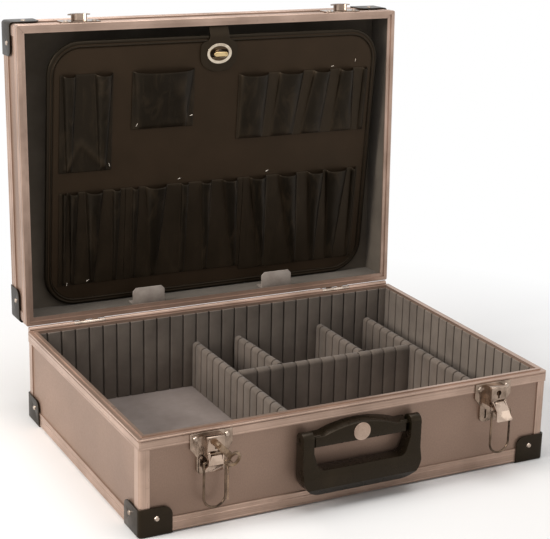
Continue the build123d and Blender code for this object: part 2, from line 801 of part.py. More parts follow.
# All the domed rivets: those of the caps, the latch plates and the catches
latch_rivet_lift = catch_rivet_z - plate_rivet_z
with BuildPart() as latch_rivets:
    for cx in (latch_left_x, latch_right_x):
        for sx in (-1, 1):
            with BuildSketch(Plane.XZ.offset(half_d - rail_step)):
                with Locations((cx + sx * plate_rivet_x, plate_rivet_z)):
                    Circle(rivet_shank_r)
            extrude(amount=rail_step + plate_t)
            with BuildSketch(Plane.XZ.offset(half_d + plate_t)):
                with Locations((cx + sx * plate_rivet_x, plate_rivet_z)):
                    Circle(rivet_head_r)
            extrude(amount=rivet_head_t, taper=32)
with BuildPart() as base_rivets:
    add([base_cap_rivets.part, latch_rivets.part])
with BuildPart() as lid_rivets:
    add([lid_cap_rivets.part, latch_rivets.part.moved(Pos(0, 0, latch_rivet_lift))])
save(base_rivets, "base_rivets")
save(lid_rivets, "lid_rivets", LID_OPEN)

# Fixed pins on which the levers turn
with BuildPart() as lever_pins:
    for cx in (latch_left_x, latch_right_x):
        with Locations(Location((cx, front(lever_pivot_d), lever_pivot_z), (0, 90, 0))):
            Cylinder(lever_pin_r, 2 * box_hw + 1.6)

place_left = Pos(latch_left_x, 0, 0)
place_right = Pos(latch_right_x, 0, 0)
pivot_y = front(lever_pivot_d)
turn_left = about_x(pivot_y, lever_pivot_z, left_lever_turn)
left_pivot = turned((bail_pivot_d, bail_pivot_z), left_lever_turn)
hang_left = Pos(0, -(left_pivot[0] - bail_pivot_d), left_pivot[1] - bail_pivot_z)
with BuildPart() as latch_plates:
    add([plate_shape.part.moved(place_left), plate_shape.part.moved(place_right)])
with BuildPart() as lock_boxes:
    add([box_shape.part.moved(place_left), box_shape.part.moved(place_right)])
with BuildPart() as lever_left:
    add(lever_open.part.moved(place_left * turn_left))
with BuildPart() as lever_right:
    add(lever_open.part.moved(place_right))
with BuildPart() as bail_left:
    add(bail_open.part.moved(place_left * hang_left))
with BuildPart() as bail_right:
    add(bail_open.part.moved(place_right))
with BuildPart() as catches:
    add([strike_shape.part.moved(place_left), strike_shape.part.moved(place_right)])
save(latch_plates, "latch_plates")
save(lock_boxes, "lock_boxes")
save(lever_pins, "lever_pins")
save(lever_left, "lever_left")
save(lever_right, "lever_right")
save(bail_left, "bail_left")
save(bail_right, "bail_right")
save(catches, "catches", LID_OPEN)

# Key standing in the left lock: barrel, bit, flat shoulder and ring bow
key_barrel_r = keyhole_r - 0.1
key_t = 1.8
bow_d = 51.0
bow_r = 8.0
bow_hole_r = 5.0
bow_lean = 45.0
with BuildPart() as key:
    with BuildSketch(Plane.YZ):
        with Locations((front(bow_d), keyhole_z)):
            Circle(bow_r)
            Circle(bow_hole_r, mode=Mode.SUBTRACT)
        with Locations((front(30.0), keyhole_z)):
            Rectangle(30.0, 6.6)
    extrude(amount=key_t / 2, both=True)
    with Locations(Location((0, front(bow_d), keyhole_z), (0, 90, 0))):
        Cylinder(bow_hole_r, 4, mode=Mode.SUBTRACT)
    with Locations(Location((0, front(12.5), keyhole_z), (90, 0, 0))):
        Cylinder(key_barrel_r, 17)
    key.part = key.part.moved(Pos(0, 0, keyhole_z) * Rot(0, bow_lean, 0) * Pos(0, 0, -keyhole_z))
    block(-1.0, 1.0, front(9.5), front(5.0), keyhole_z - 6.0, keyhole_z - 1.0)
save(key, "key", place_left)

# Spare key hanging edge-on from a split ring round the bow
link_r = 3.6
link_wire_r = 0.5
link_angle = math.radians(-35)
spare_len = 36.0
spare_t = 1.2
spare_bow_r = 5.5
spare_hole_r = 1.3
lean = math.radians(bow_lean)
bow_up = Vector(math.sin(lean), 0, math.cos(lean))
bow_out = Vector(0, -1, 0)
rim_way = bow_out * math.sin(link_angle) - bow_up * math.cos(link_angle)
rim_along = bow_up * math.sin(link_angle) + bow_out * math.cos(link_angle)
rim_point = Vector(0, front(bow_d), keyhole_z) + rim_way * ((bow_r + bow_hole_r) / 2)
down = Vector(0, 0, -1)
ring_down = (down - rim_along * down.dot(rim_along)).normalized()
ring_mid = rim_point + ring_down * 1.2
hang_point = ring_mid + ring_down * link_r
wire_way = rim_along.cross(ring_down)
with BuildPart() as key_ring:
    with Locations(Plane(origin=ring_mid, z_dir=rim_along).location):
        Torus(link_r, link_wire_r)
spare_plane = Plane(origin=hang_point, x_dir=Vector(0, 0, 1).cross(wire_way), z_dir=wire_way)
spare_hole_y = link_wire_r + 0.1 - spare_hole_r
spare_bow_y = spare_hole_y + 2.9 - spare_bow_r
with BuildPart() as spare_key:
    with BuildSketch(spare_plane):
        with Locations((0, spare_bow_y)):
            Circle(spare_bow_r)
        with Locations((0, spare_bow_y + spare_bow_r - (spare_len + spare_bow_r) / 2)):
            Rectangle(3.4, spare_len - spare_bow_r)
        with Locations((0, spare_hole_y)):
            Circle(spare_hole_r, mode=Mode.SUBTRACT)
    extrude(amount=spare_t / 2, both=True)
save(key_ring, "key_ring", place_left)
save(spare_key, "spare_key", place_left)

# Handle bracket: a tapered block with an arched top
with BuildPart() as handle_bracket:
    for depth, hw, low, end_top, crown in (
        (half_d - panel_r, bracket_hw, -12.5, 3.5, 11.4),
        (half_d + bracket_d, bracket_front_hw, -9.0, 1.5, 9.3),
    ):
        with BuildSketch(Plane((0, -depth, handle_pivot_z), x_dir=(1, 0, 0), z_dir=(0, -1, 0))):
            with BuildLine():
                Polyline((-hw + 11, end_top), (-hw, end_top), (-hw, low), (hw, low), (hw, end_top), (hw - 11, end_top))
                ThreePointArc((hw - 11, end_top), (0, crown), (-hw + 11, end_top))
            make_face()
    loft()
    front_edges = handle_bracket.faces().sort_by(Axis.Y)[0].edges()
    fillet(front_edges, 1.2)
    for sx in (-1, 1):
        with Locations(Location((sx * 52.5, front(handle_pivot_d), handle_pivot_z), (0, 90, 0))):
            Cylinder(handle_pin_r, 15, mode=Mode.SUBTRACT)
save(handle_bracket, "handle_bracket")

# Plain round badge on the bracket
with BuildPart() as handle_badge:
    with BuildSketch(Plane.XZ.offset(half_d + bracket_d)):
        with Locations((0, handle_pivot_z)):
            Circle(badge_r)
    extrude(amount=badge_t)
    chamfer(handle_badge.faces().sort_by(Axis.Y)[0].edges(), 0.4)
save(handle_badge, "handle_badge")

with BuildPart() as handle_pins:
    for sx in (-1, 1):
        pin_mid = (bracket_hw - pin_deep + grip_hw - pin_sink) / 2
        pin_len = grip_hw - pin_sink - bracket_hw + pin_deep
        with Locations(Location((sx * pin_mid, front(handle_pivot_d), handle_pivot_z), (0, 90, 0))):
            Cylinder(handle_pin_r, pin_len)
save(handle_pins, "handle_pins")

# Grip: a U with broad arms, hung on the bracket's two pins
grip_low = handle_pivot_z - grip_drop
grip_end_z = grip_low + 3.0
with BuildPart() as handle_grip:
    with BuildSketch(Plane.XZ.offset(half_d)) as grip_outline:
        with BuildLine():
            Polyline(
                (-grip_hw, grip_end_z),
                (-grip_hw, handle_pivot_z + arm_r),
                (grip_hw, handle_pivot_z + arm_r),
                (grip_hw, grip_end_z),
            )
            ThreePointArc((grip_hw, grip_end_z), (0, grip_low), (-grip_hw, grip_end_z))
        make_face()
        fillet(grip_outline.vertices().group_by(Axis.Y)[0], 22.0)
    extrude(amount=20)
    with BuildSketch(Plane.YZ):
        with BuildLine():
            Polyline(
                (front(1.0), handle_pivot_z),
                (front(1.0), grip_low + 9.5),
                (front(4.5), grip_low + 2.0),
                (front(9.0), grip_low - 0.5),
                (front(13.5), grip_low + 1.5),
                (front(18.6), grip_low + 9.5),
                (front(19.0), grip_low + 21.5),
                (front(16.0), grip_low + 33.5),
                (front(16.0), handle_pivot_z),
            )
            ThreePointArc(
                (front(16.0), handle_pivot_z),
                (front(handle_pivot_d), handle_pivot_z + arm_r),
                (front(1.0), handle_pivot_z),
            )
        make_face()
    extrude(amount=80, both=True, mode=Mode.INTERSECT)
    with BuildSketch(Plane.XZ.offset(half_d)) as grip_window:
        with BuildLine():
            Polyline(
                (-arm_in, handle_pivot_z + 15.0),
                (-arm_in, handle_pivot_z - 13.0),
                (-49.0, handle_pivot_z - 32.4),
                (49.0, handle_pivot_z - 32.4),
                (arm_in, handle_pivot_z - 13.0),
                (arm_in, handle_pivot_z + 15.0),
                close=True,
            )
        make_face()
        fillet(grip_window.vertices().group_by(Axis.Y)[0], 9.0)
    extrude(amount=24, mode=Mode.SUBTRACT)
    with Locations(Location((0, front(handle_pivot_d), handle_pivot_z), (0, 90, 0))):
        Cylinder(handle_pin_r + running_fit, 160, mode=Mode.SUBTRACT)
save(handle_grip, "handle_grip")


def ribbed_divider(length, slits):
    """Divider along +Y from 0, centred on x = 0, slit at the given distances."""
    half = divider_t / 2
    core = half - slit_deep
    with BuildPart() as body:
        with BuildSketch(Plane.XZ):
            with BuildLine():
                Polyline((-half, divider_top - half), (-half, divider_foot), (half, divider_foot), (half, divider_top - half))
                ThreePointArc((half, divider_top - half), (0, divider_top), (-half, divider_top - half))
            make_face()
        extrude(amount=-length)
        for y in slits:
            with BuildSketch(Plane.XZ.offset(-y)):
                with Locations((0, (divider_foot + divider_top) / 2)):
                    Rectangle(divider_t + 2, divider_top - divider_foot + 2)
                Polygon(
                    (-core, divider_foot - 2),
                    (core, divider_foot - 2),
                    (core, divider_top - half + 1),
                    (core - 2, divider_top - slit_deep),
                    (-core + 2, divider_top - slit_deep),
                    (-core, divider_top - half + 1),
                    align=None,
                    mode=Mode.SUBTRACT,
                )
            extrude(amount=slit_w / 2, both=True, mode=Mode.SUBTRACT)
    return body.part


# Two long dividers across the whole depth of the base
tongue_top = divider_top - 6.0
tongue_in = 1.2
long_len = 2 * (face_y - divider_end_gap)
long_slits = [long_len / 2 + n * pitch for n in range(-along_n, along_n + 1)]
long_body = ribbed_divider(long_len, long_slits)
with BuildPart() as divider_1:
    add(long_body.moved(Pos(long_left_x, -long_len / 2, 0)))
    for sy in (-1, 1):
        y_end = sy * long_len / 2
        y_tip = sy * (face_y + tongue_in)
        block(long_left_x - tongue_t / 2, long_left_x + tongue_t / 2, y_end, y_tip, divider_foot, tongue_top)
with BuildPart() as divider_4:
    add(divider_1.part.moved(Pos(long_right_x - long_left_x, 0, 0)))

# Cross divider between the two long ones
cross_x0 = long_left_x + divider_t / 2 + 0.3
cross_x1 = long_right_x - divider_t / 2 - 0.3
cross_slits = [skew_front_x + n * pitch - cross_x0 for n in range(-2, 10)]
cross_body = ribbed_divider(cross_x1 - cross_x0, cross_slits)
with BuildPart() as divider_5:
    add(cross_body.moved(Pos(cross_x0, cross_y, 0) * Rot(0, 0, -90)))
    for x_end, x_tip in ((cross_x0, cross_x0 - 1.8), (cross_x1, cross_x1 + 1.8)):
        block(x_end, x_tip, cross_y - tongue_t / 2, cross_y + tongue_t / 2, divider_foot, tongue_top)

# Two short dividers behind the cross one, the left of them a little askew
short_y0 = cross_y + divider_t / 2 + 0.4
short_len = face_y - divider_end_gap - short_y0
short_slits = [short_len - (n + 0.55) * pitch for n in range(6)]
short_body = ribbed_divider(short_len, short_slits)
with BuildPart() as divider_3:
    add(short_body.moved(Pos(short_right_x, short_y0, 0)))
    block(
        short_right_x - tongue_t / 2,
        short_right_x + tongue_t / 2,
        short_y0 + short_len,
        face_y + tongue_in,
        divider_foot,
        tongue_top,
    )
skew = math.degrees(math.atan2(skew_front_x - skew_back_x, short_len))
with BuildPart() as divider_2:
    add(short_body)
    block(-tongue_t / 2, tongue_t / 2, -1.8, 0, divider_foot, tongue_top)
    divider_2.part = divider_2.part.moved(Pos(skew_front_x, short_y0, 0) * Rot(0, 0, skew))
save(divider_1, "divider_1")
save(divider_2, "divider_2")
save(divider_3, "divider_3")
save(divider_4, "divider_4")
save(divider_5, "divider_5")

# Pallet board with a round piping along its edge
board_face = pallet_t / 2
with BuildPart() as pallet_board:
    with BuildSketch(Plane.XY.offset(-board_face)) as board_outline:
        with Locations((0, pallet_h / 2)):
            Rectangle(pallet_w - 2 * piping_r, pallet_h - 2 * piping_r)
        fillet(board_outline.vertices(), pallet_corner_r - piping_r)
    extrude(amount=pallet_t)
    with BuildLine() as piping_path:
        add(board_outline.sketch.faces()[0].outer_wire().moved(Pos(0, 0, board_face)).edges())
    piping_wire = board_outline.sketch.faces()[0].outer_wire().moved(Pos(0, 0, board_face))
    with BuildSketch(Plane(origin=piping_wire @ 0, z_dir=piping_wire % 0)):
        Circle(piping_r)
    sweep(path=piping_wire)
save(pallet_board, "pallet_board", PALLET)


def sleeve(top, low, q_low, q_top, swell, low_swell):
    """Bulged tube on the web: open at its top, drawn in towards its foot."""
    n0 = board_face + web_t
    share = 0.12
    inset = [low[i] + (top[i] - low[i]) * share for i in (0, 1)]
    q_in = q_low + (q_top - q_low) * share
    in_swell = low_swell + (swell - low_swell) * share - sleeve_t
    stations = (
        (q_low, low, low_swell, 0),
        (q_top, top, swell, 0),
        (q_in, inset, in_swell, sleeve_t),
        (q_top, top, swell - sleeve_t, sleeve_t),
    )
    faces = []
    for q, (p0, p1), height, edge in stations:
        with BuildSketch(Plane.XZ.offset(-q)) as section:
            with BuildLine():
                Line((p0 + edge, n0), (p1 - edge, n0))
                ThreePointArc((p1 - edge, n0), ((p0 + p1) / 2, n0 + height), (p0 + edge, n0))
            make_face()
        faces.append(section.sketch.faces()[0])
    with BuildPart() as tube:
        loft(sections=faces[:2])
        loft(sections=faces[2:], mode=Mode.SUBTRACT)
    return tube.part


def web(p0, p1, q0, q1):
    """Flat strip of pocket material lying on the board."""
    with BuildPart() as strip:
        block(p0, p1, q0, q1, board_face, board_face + web_t)
    return strip.part


# Pocket forms: each sleeve has its top span, foot span, foot and top height, and swell
row_low = 25.0
row_top = 136.0
row_1_spans = [
    ((-185.0, -179.0), (-183.5, -180.5), 4.0),
    ((-177.5, -166.0), (-174.0, -169.0), 5.5),
    ((-158.0, -137.0), (-151.0, -145.0), 8.0),
    ((-126.0, -116.0), (-123.5, -118.5), 5.0),
]
row_2_spans = [
    ((-103.0, -94.0), (-101.0, -96.0), 5.0),
    ((-87.0, -60.0), (-77.0, -70.0), 8.5),
    ((-43.0, -33.0), (-41.0, -35.0), 5.0),
    ((-18.6, -4.3), (-11.0, -6.2), 6.5),
    ((8.6, 28.6), (26.0, 31.5), 8.0),
]
row_3_spans = [
    ((43.0, 65.7), (62.0, 68.5), 8.5),
    ((81.0, 105.7), (105.0, 112.0), 8.5),
    ((120.0, 141.5), (131.0, 137.0), 8.5),
    ((145.0, 174.0), (153.0, 163.0), 8.5),
    ((180.0, 187.0), (181.0, 185.0), 4.5),
]
tall_spans = [
    ((-186.5, -171.0), (-181.0, -174.0), 7.5),
    ((-149.5, -129.0), (-143.0, -134.0), 8.5),
]
loop_spans = [
    ((24.5, 61.0), (26.0, 57.0), 8.5),
    ((74.0, 106.0), (67.5, 97.0), 8.5),
    ((119.0, 141.0), (106.5, 133.0), 8.5),
    ((154.0, 171.5), (147.0, 175.5), 8.0),
    ((184.5, 190.5), (183.5, 190.0), 4.0),
]


def pocket_strip(spans, p0, p1, q0, q1):
    """A web with its sleeves, laid out in step with the board's size."""
    foot = up * q0
    head = up * q1
    pieces = [web(across * p0, across * p1, foot, head)]
    for top, low, swell in spans:
        top_span = [across * p for p in top]
        low_span = [across * p for p in low]
        pieces.append(sleeve(top_span, low_span, foot + 4.0, head, swell, min(swell, 3.0)))
    return pieces


strip_1 = pocket_strip(row_1_spans, -188.0, -110.0, row_low, row_top)
strip_2 = pocket_strip(row_2_spans, -109.8, 35.8, row_low, row_top)
strip_3 = pocket_strip(row_3_spans, 36.0, 189.0, row_low - 5, row_top)
strip_tall = pocket_strip(tall_spans, -189.0, -128.0, 158.6, 270.0)
strip_wide = pocket_strip([((-105.0, -32.0), (-98.0, -40.0), 9.5)], -105.7, -31.4, 203.0, 270.0)
strip_loops = pocket_strip(loop_spans, 23.5, 191.5, 183.0, 260.0)
with BuildPart() as pocket_row_1:
    add(strip_1)
with BuildPart() as pocket_row_2:
    add(strip_2)
with BuildPart() as pocket_row_3:
    add(strip_3)
with BuildPart() as pocket_tall:
    add(strip_tall)
with BuildPart() as pocket_wide:
    add(strip_wide)
with BuildPart() as pocket_loops:
    add(strip_loops)
save(pocket_row_1, "pocket_row_1", PALLET)
save(pocket_row_2, "pocket_row_2", PALLET)
save(pocket_row_3, "pocket_row_3", PALLET)
save(pocket_tall, "pocket_tall", PALLET)
save(pocket_wide, "pocket_wide", PALLET)
save(pocket_loops, "pocket_loops", PALLET)

# Turn button on the board, and the plate it stands on
knob_p = -3.4
knob_q = pallet_h - 20.3
strap_t = 1.4
strap_n = piping_r + 0.3
ring_n = strap_n + strap_t
with BuildPart() as knob_plate:
    with Locations((knob_p, knob_q, board_face + 0.3)):
        Cylinder(4.6, 0.6)
save(knob_plate, "knob_plate", PALLET)
knob_n0 = board_face + 0.6
with BuildPart() as turn_knob:
    with Locations((knob_p, knob_q, knob_n0 + 3.2)):
        Cylinder(2.2, 6.4)
    with BuildSketch(Plane.XY.offset(knob_n0 + 5.0)):
        with Locations((knob_p, knob_q)):
            SlotOverall(17.0, 5.6)
    extrude(amount=3.0)
    fillet(turn_knob.faces().sort_by(Axis.Z)[-1].edges(), 1.0)
save(turn_knob, "turn_knob", PALLET)

# Strap from the lid wall over the pallet's top edge, with a metal eyelet
strap_hw = 11.7
patch_hw = 22.3
patch_low = pallet_h - 41.0
patch_high = pallet_h - 6.0
strap_bend_q = pallet_h + 0.5
strap_end = (pallet_h + 11.9, -4.1)
with BuildPart() as strap:
    with BuildSketch(Plane.XY.offset(strap_n)) as strap_face:
        with Locations((knob_p, (patch_low + patch_high) / 2)):
            RectangleRounded(2 * patch_hw, patch_high - patch_low, 8.0)
        with Locations((knob_p, (patch_high - 10.0 + strap_bend_q) / 2)):
            Rectangle(2 * strap_hw, strap_bend_q - patch_high + 10.0)
        with Locations((knob_p, knob_q)):
            SlotOverall(22.0, 9.0, mode=Mode.SUBTRACT)
    extrude(amount=strap_t)
    with BuildSketch(Plane.YZ.offset(knob_p)):
        Polygon(
            (strap_bend_q, strap_n),
            (strap_end[0], strap_end[1]),
            (strap_end[0] + 0.6, strap_end[1] + 1.2),
            (strap_bend_q, strap_n + strap_t),
            align=None,
        )
    extrude(amount=strap_hw, both=True)
save(strap, "strap", PALLET)

with BuildPart() as eyelet:
    with BuildSketch(Plane.XY.offset(ring_n)):
        with Locations((knob_p, knob_q)):
            Ellipse(15.0, 11.7)
            SlotOverall(22.0, 9.0, mode=Mode.SUBTRACT)
    extrude(amount=1.2)
    chamfer(eyelet.faces().sort_by(Axis.Z)[-1].outer_wire().edges(), 0.5)
save(eyelet, "eyelet", PALLET)

# Two angle brackets on the lid wall beside the hinges, in front of the pallet
tab_x = hinge_x - 75.5
tab_z = base_h + 9.0
tab_hw = 19.5
with BuildPart() as pallet_brackets:
    for sx in (-1, 1):
        with BuildSketch(Plane.XY.offset(tab_z)) as bracket_tab:
            with Locations((sx * tab_x, half_d - 16.2)):
                Rectangle(2 * tab_hw, 19.6)
            chamfer(bracket_tab.vertices().group_by(Axis.Y)[0], 4.0)
        extrude(amount=bracket_plate_t)
        y_wall = half_d - lining_r - lid_lining_t
        block(
            sx * tab_x - tab_hw, sx * tab_x + tab_hw, y_wall - bracket_plate_t, y_wall, tab_z, tab_z + 15.0
        )
save(pallet_brackets, "pallet_brackets", LID_OPEN)
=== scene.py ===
"""Coin collection case: an aluminium-framed case, its lid open on a tool pallet."""
import logging
import math
from dataclasses import dataclass, field
from enum import Enum
from typing import Callable, Iterable, Sequence

import bmesh
import bpy
from mathutils import Matrix, Vector, noise


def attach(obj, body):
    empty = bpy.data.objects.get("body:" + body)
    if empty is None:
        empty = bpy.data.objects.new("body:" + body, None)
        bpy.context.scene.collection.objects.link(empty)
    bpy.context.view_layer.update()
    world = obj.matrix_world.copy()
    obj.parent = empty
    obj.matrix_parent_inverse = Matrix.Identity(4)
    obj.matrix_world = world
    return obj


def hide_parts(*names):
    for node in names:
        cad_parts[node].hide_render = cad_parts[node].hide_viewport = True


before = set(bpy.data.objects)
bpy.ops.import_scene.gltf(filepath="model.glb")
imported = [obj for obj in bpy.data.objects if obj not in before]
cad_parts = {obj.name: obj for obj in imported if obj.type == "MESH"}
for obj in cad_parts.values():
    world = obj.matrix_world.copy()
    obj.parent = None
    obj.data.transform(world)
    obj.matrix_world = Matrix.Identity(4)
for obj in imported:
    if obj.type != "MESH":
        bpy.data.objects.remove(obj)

LOG = logging.getLogger("coin_case")
MM = 0.001
Colour = tuple[float, float, float, float]
Span = tuple[float, float]
Triple = tuple[float, float, float]
Obj = bpy.types.Object
Socket = bpy.types.NodeSocket
Material = bpy.types.Material
WARM: Colour = (1.0, 0.76, 0.54, 1.0)
OUT: Triple = (0.0, 0.0, 1.0)


def srgb(red: float, green: float, blue: float) -> Colour:
    """Turn a colour on the 0 to 255 scale into the linear values that shaders take.

    Args:
        red: Red, 0 to 255.
        green: Green, 0 to 255.
        blue: Blue, 0 to 255.

    Returns:
        Linear red, green, blue and a full alpha.
    """
    linear = []
    for value in (red, green, blue):
        share = value / 255
        linear.append(share / 12.92 if share <= 0.04045 else ((share + 0.055) / 1.055) ** 2.4)
    return (linear[0], linear[1], linear[2], 1.0)


def link(obj: Obj) -> None:
    """Put a new object in the scene."""
    bpy.context.scene.collection.objects.link(obj)


class Graph:
    """The node tree of one material, built socket by socket."""

    def __init__(self, name: str) -> None:
        """Start a material with its shader and Object coordinates."""
        self.material = bpy.data.materials.new(name)
        self.material.use_nodes = True
        self.nodes = self.material.node_tree.nodes
        self.links = self.material.node_tree.links
        self.shader = self.nodes["Principled BSDF"]
        self.at = self.nodes.new("ShaderNodeTexCoord").outputs["Object"]

    def plug(self, socket: Socket, value: object) -> None:
        """Link a socket to another, or set its own value."""
        if isinstance(value, Socket):
            self.links.new(value, socket)
        else:
            socket.default_value = value

    def node(
        self, kind: str, out: str | int, inputs: dict[str | int, object], **settings: object
    ) -> Socket:
        """Add a node.

        Args:
            kind: Its type, without the ShaderNode in front.
            out: The output to give back, by name or place.
            inputs: Sockets or values for its inputs, by name or place.
            settings: Its own settings.

        Returns:
            The chosen output.
        """
        node = self.nodes.new(f"ShaderNode{kind}")
        for name, value in settings.items():
            setattr(node, name, value)
        for name, value in inputs.items():
            self.plug(node.inputs[name], value)
        return node.outputs[out]

    def stretch(self, scale: Sequence[float], turn: Sequence[float] = (0, 0, 0)) -> Socket:
        """Scale and turn the Object coordinates, so that a pattern runs one way."""
        inputs = {"Vector": self.at, "Rotation": turn, "Scale": scale}
        return self.node("Mapping", "Vector", inputs)

    def noise(
        self,
        scale: float,
        detail: float = 2.0,
        rough: float = 0.5,
        at: Socket | None = None,
        warp: float = 0.0,
    ) -> Socket:
        """Soft noise between 0 and 1.

        Args:
            scale: Blobs per metre, or per unit of the coordinates.
            detail: Octaves of finer noise.
            rough: Weight of the finer octaves.
            at: Coordinates; the Object coordinates if left out.
            warp: How far the noise bends itself.

        Returns:
            The noise value.
        """
        inputs = {"Vector": at or self.at, "Scale": scale, "Detail": detail, "Roughness": rough}
        return self.node("TexNoise", "Fac", {**inputs, "Distortion": warp})

    def cells(self, scale: float) -> Socket:
        """Distance to the nearest of many scattered points, as in pebbled grain."""
        inputs = {"Vector": self.at, "Scale": scale}
        return self.node("TexVoronoi", "Distance", inputs, feature="SMOOTH_F1")

    def level(
        self, value: Socket, low: float, high: float, to_low: float = 0.0, to_high: float = 1.0
    ) -> Socket:
        """Spread the part of a value between low and high over a new range, clamped."""
        inputs = {"Value": value, "From Min": low, "From Max": high}
        return self.node("MapRange", "Result", {**inputs, "To Min": to_low, "To Max": to_high})

    def mix(self, share: object, first: object, second: object) -> Socket:
        """Blend two colours, from the first at 0 to the second at 1."""
        return self.node("Mix", 2, {0: share, 6: first, 7: second}, data_type="RGBA")

    def sum(self, first: object, second: object, kind: str = "ADD") -> Socket:
        """Join two values with a Math node."""
        return self.node("Math", 0, {0: first, 1: second}, operation=kind)

    def bump(self, height: object, strength: float, depth: float, over: object = None) -> Socket:
        """Turn a height into a normal.

        Args:
            height: The height value.
            strength: Share of the effect.
            depth: Height of a full step, in metres.
            over: A normal from another bump that this one lies on.

        Returns:
            The bumped normal.
        """
        inputs = {"Height": height, "Strength": strength, "Distance": depth}
        if over is not None:
            inputs["Normal"] = over
        return self.node("Bump", "Normal", inputs)

    def done(
        self, colour: object, roughness: object, normal: object = None, **fixed: object
    ) -> Material:
        """Join everything to the shader.

        Args:
            colour: Base colour.
            roughness: Roughness value or socket.
            normal: Normal socket, if any.
            fixed: Other inputs of the shader, by name with underscores.

        Returns:
            The finished material.
        """
        if normal is not None:
            fixed["Normal"] = normal
        for name, value in {"Base_Color": colour, "Roughness": roughness, **fixed}.items():
            self.plug(self.shader.inputs[name.replace("_", " ")], value)
        return self.material


class Run(Enum):
    """The way a rail or panel was drawn, as how fast its grain changes along x, y and z."""

    BASE_RAIL = (5.0, 5.0, 800.0)
    LID_RAIL = (5.0, 800.0, 5.0)
    BASE_POST = (800.0, 800.0, 5.0)
    LID_POST = (800.0, 5.0, 800.0)
    BASE_PANEL = (900.0, 900.0, 500.0)
    LID_PANEL = (900.0, 500.0, 900.0)


@dataclass(frozen=True)
class RailAluminium:
    """Satin extruded aluminium with draw lines and a few dull patches."""

    run: Run
    bright: Colour = srgb(188, 160, 143)
    dull: Colour = srgb(156, 131, 115)
    line: Colour = srgb(110, 91, 78)
    metallic: float = 0.6

    def make(self) -> Material:
        """Build the material."""
        g = Graph(f"rail_{self.run.name.lower()}")
        lines = g.noise(1.0, 3.0, 0.6, g.stretch(self.run.value))
        patches = g.noise(16.0, 3.0, 0.55)
        scuffs = g.level(g.noise(230.0, 4.0, 0.7, warp=0.6), 0.60, 0.72)
        colour = g.mix(g.level(patches, 0.35, 0.7), self.bright, self.dull)
        colour = g.mix(g.level(lines, 0.45, 0.75, 0.0, 0.4), colour, self.line)
        colour = g.mix(g.sum(scuffs, 0.25, "MULTIPLY"), colour, srgb(120, 104, 94))
        rough = g.level(g.sum(lines, patches, "MULTIPLY"), 0.1, 0.5, 0.26, 0.44)
        normal = g.bump(lines, 0.25, 0.00012)
        return g.done(colour, rough, normal, Metallic=self.metallic)


@dataclass(frozen=True)
class PanelAluminium:
    """Aluminium-faced board: a fine brushed grain under broad, cloudy lighter patches of painted
    sheen.
    """

    run: Run
    tone: Colour = srgb(130, 105, 89)
    painted_sheen: Colour = srgb(154, 127, 110)
    dark: Colour = srgb(102, 82, 69)
    metallic: float = 0.4

    def make(self) -> Material:
        """Build the material."""
        g = Graph(f"panel_{self.run.name.lower()}")
        grain = g.noise(1.0, 4.0, 0.7, g.stretch(self.run.value))
        cloud = g.noise(7.0, 3.0, 0.5, warp=0.4)
        speck = g.noise(1500.0, 2.0, 0.6)
        # Broad, cloudy lighter patches: painted sheen.
        colour = g.mix(g.level(cloud, 0.35, 0.68), self.tone, self.painted_sheen)
        colour = g.mix(g.level(grain, 0.35, 0.8, 0.0, 0.4), colour, self.dark)
        colour = g.mix(g.level(speck, 0.62, 0.8, 0.0, 0.3), colour, self.dark)
        rough = g.level(g.sum(grain, cloud), 0.6, 1.4, 0.34, 0.5)
        normal = g.bump(grain, 0.22, 0.00015, g.bump(speck, 0.15, 0.00008))
        return g.done(colour, rough, normal, Metallic=self.metallic)


@dataclass(frozen=True)
class NickelPlate:
    """Bright plated steel, a little cloudy, with fine rubbing marks."""

    name: str
    bright: Colour = srgb(168, 148, 132)
    second_tone: Colour = srgb(96, 80, 67)
    shine: Span = (0.12, 0.28)

    def make(self) -> Material:
        """Build the material."""
        g = Graph(self.name)
        cloud = g.noise(48.0, 3.0, 0.6)
        rub = g.noise(1.0, 4.0, 0.7, g.stretch((300.0, 900.0, 2400.0), (0.5, 0.3, 0.2)))
        # Cloudy patches of the second tone; on the bail wires these are painted reflection.
        colour = g.mix(g.level(cloud, 0.38, 0.68), self.bright, self.second_tone)
        rough = g.level(g.sum(cloud, rub), 0.7, 1.4, *self.shine)
        return g.done(colour, rough, g.bump(rub, 0.12, 0.00006), Metallic=0.95)


@dataclass(frozen=True)
class BlackMoulding:
    """Black moulded plastic: a fine leathery grain, rubbed shinier in places."""

    name: str
    tone: Colour = srgb(22, 17, 10)
    rubbed: Colour = srgb(36, 29, 20)
    roughness: Span = (0.24, 0.38)
    grain: float = 1400.0

    def make(self) -> Material:
        """Build the material."""
        g = Graph(self.name)
        grain = g.cells(self.grain)
        wear = g.noise(45.0, 4.0, 0.6)
        colour = g.mix(g.level(wear, 0.5, 0.75), self.tone, self.rubbed)
        rough = g.level(wear, 0.35, 0.7, self.roughness[1], self.roughness[0])
        normal = g.bump(grain, 0.3, 0.00008, g.bump(g.noise(300.0, 3.0), 0.12, 0.0002))
        return g.done(colour, rough, normal, Specular_IOR_Level=0.24, Specular_Tint=WARM)


@dataclass(frozen=True)
class NappedLining:
    """Short-napped lining over board or foam: soft, with a fibrous, slightly patchy face."""

    name: str
    tone: Colour
    shade: Colour
    nap: float = 2200.0
    depth: float = 0.0003

    def make(self) -> Material:
        """Build the material."""
        g = Graph(self.name)
        fibre = g.noise(self.nap, 4.0, 0.75, warp=1.2)
        patch = g.noise(26.0, 3.0, 0.6)
        colour = g.mix(g.level(patch, 0.35, 0.7), self.tone, self.shade)
        colour = g.mix(g.level(fibre, 0.35, 0.7, 0.0, 0.4), colour, self.shade)
        normal = g.bump(fibre, 0.5, self.depth, g.bump(patch, 0.2, 0.001))
        rough = g.level(patch, 0.3, 0.7, 0.82, 0.95)
        return g.done(
            colour, rough, normal, Sheen_Weight=0.12, Sheen_Roughness=0.6, Specular_IOR_Level=0.2
        )


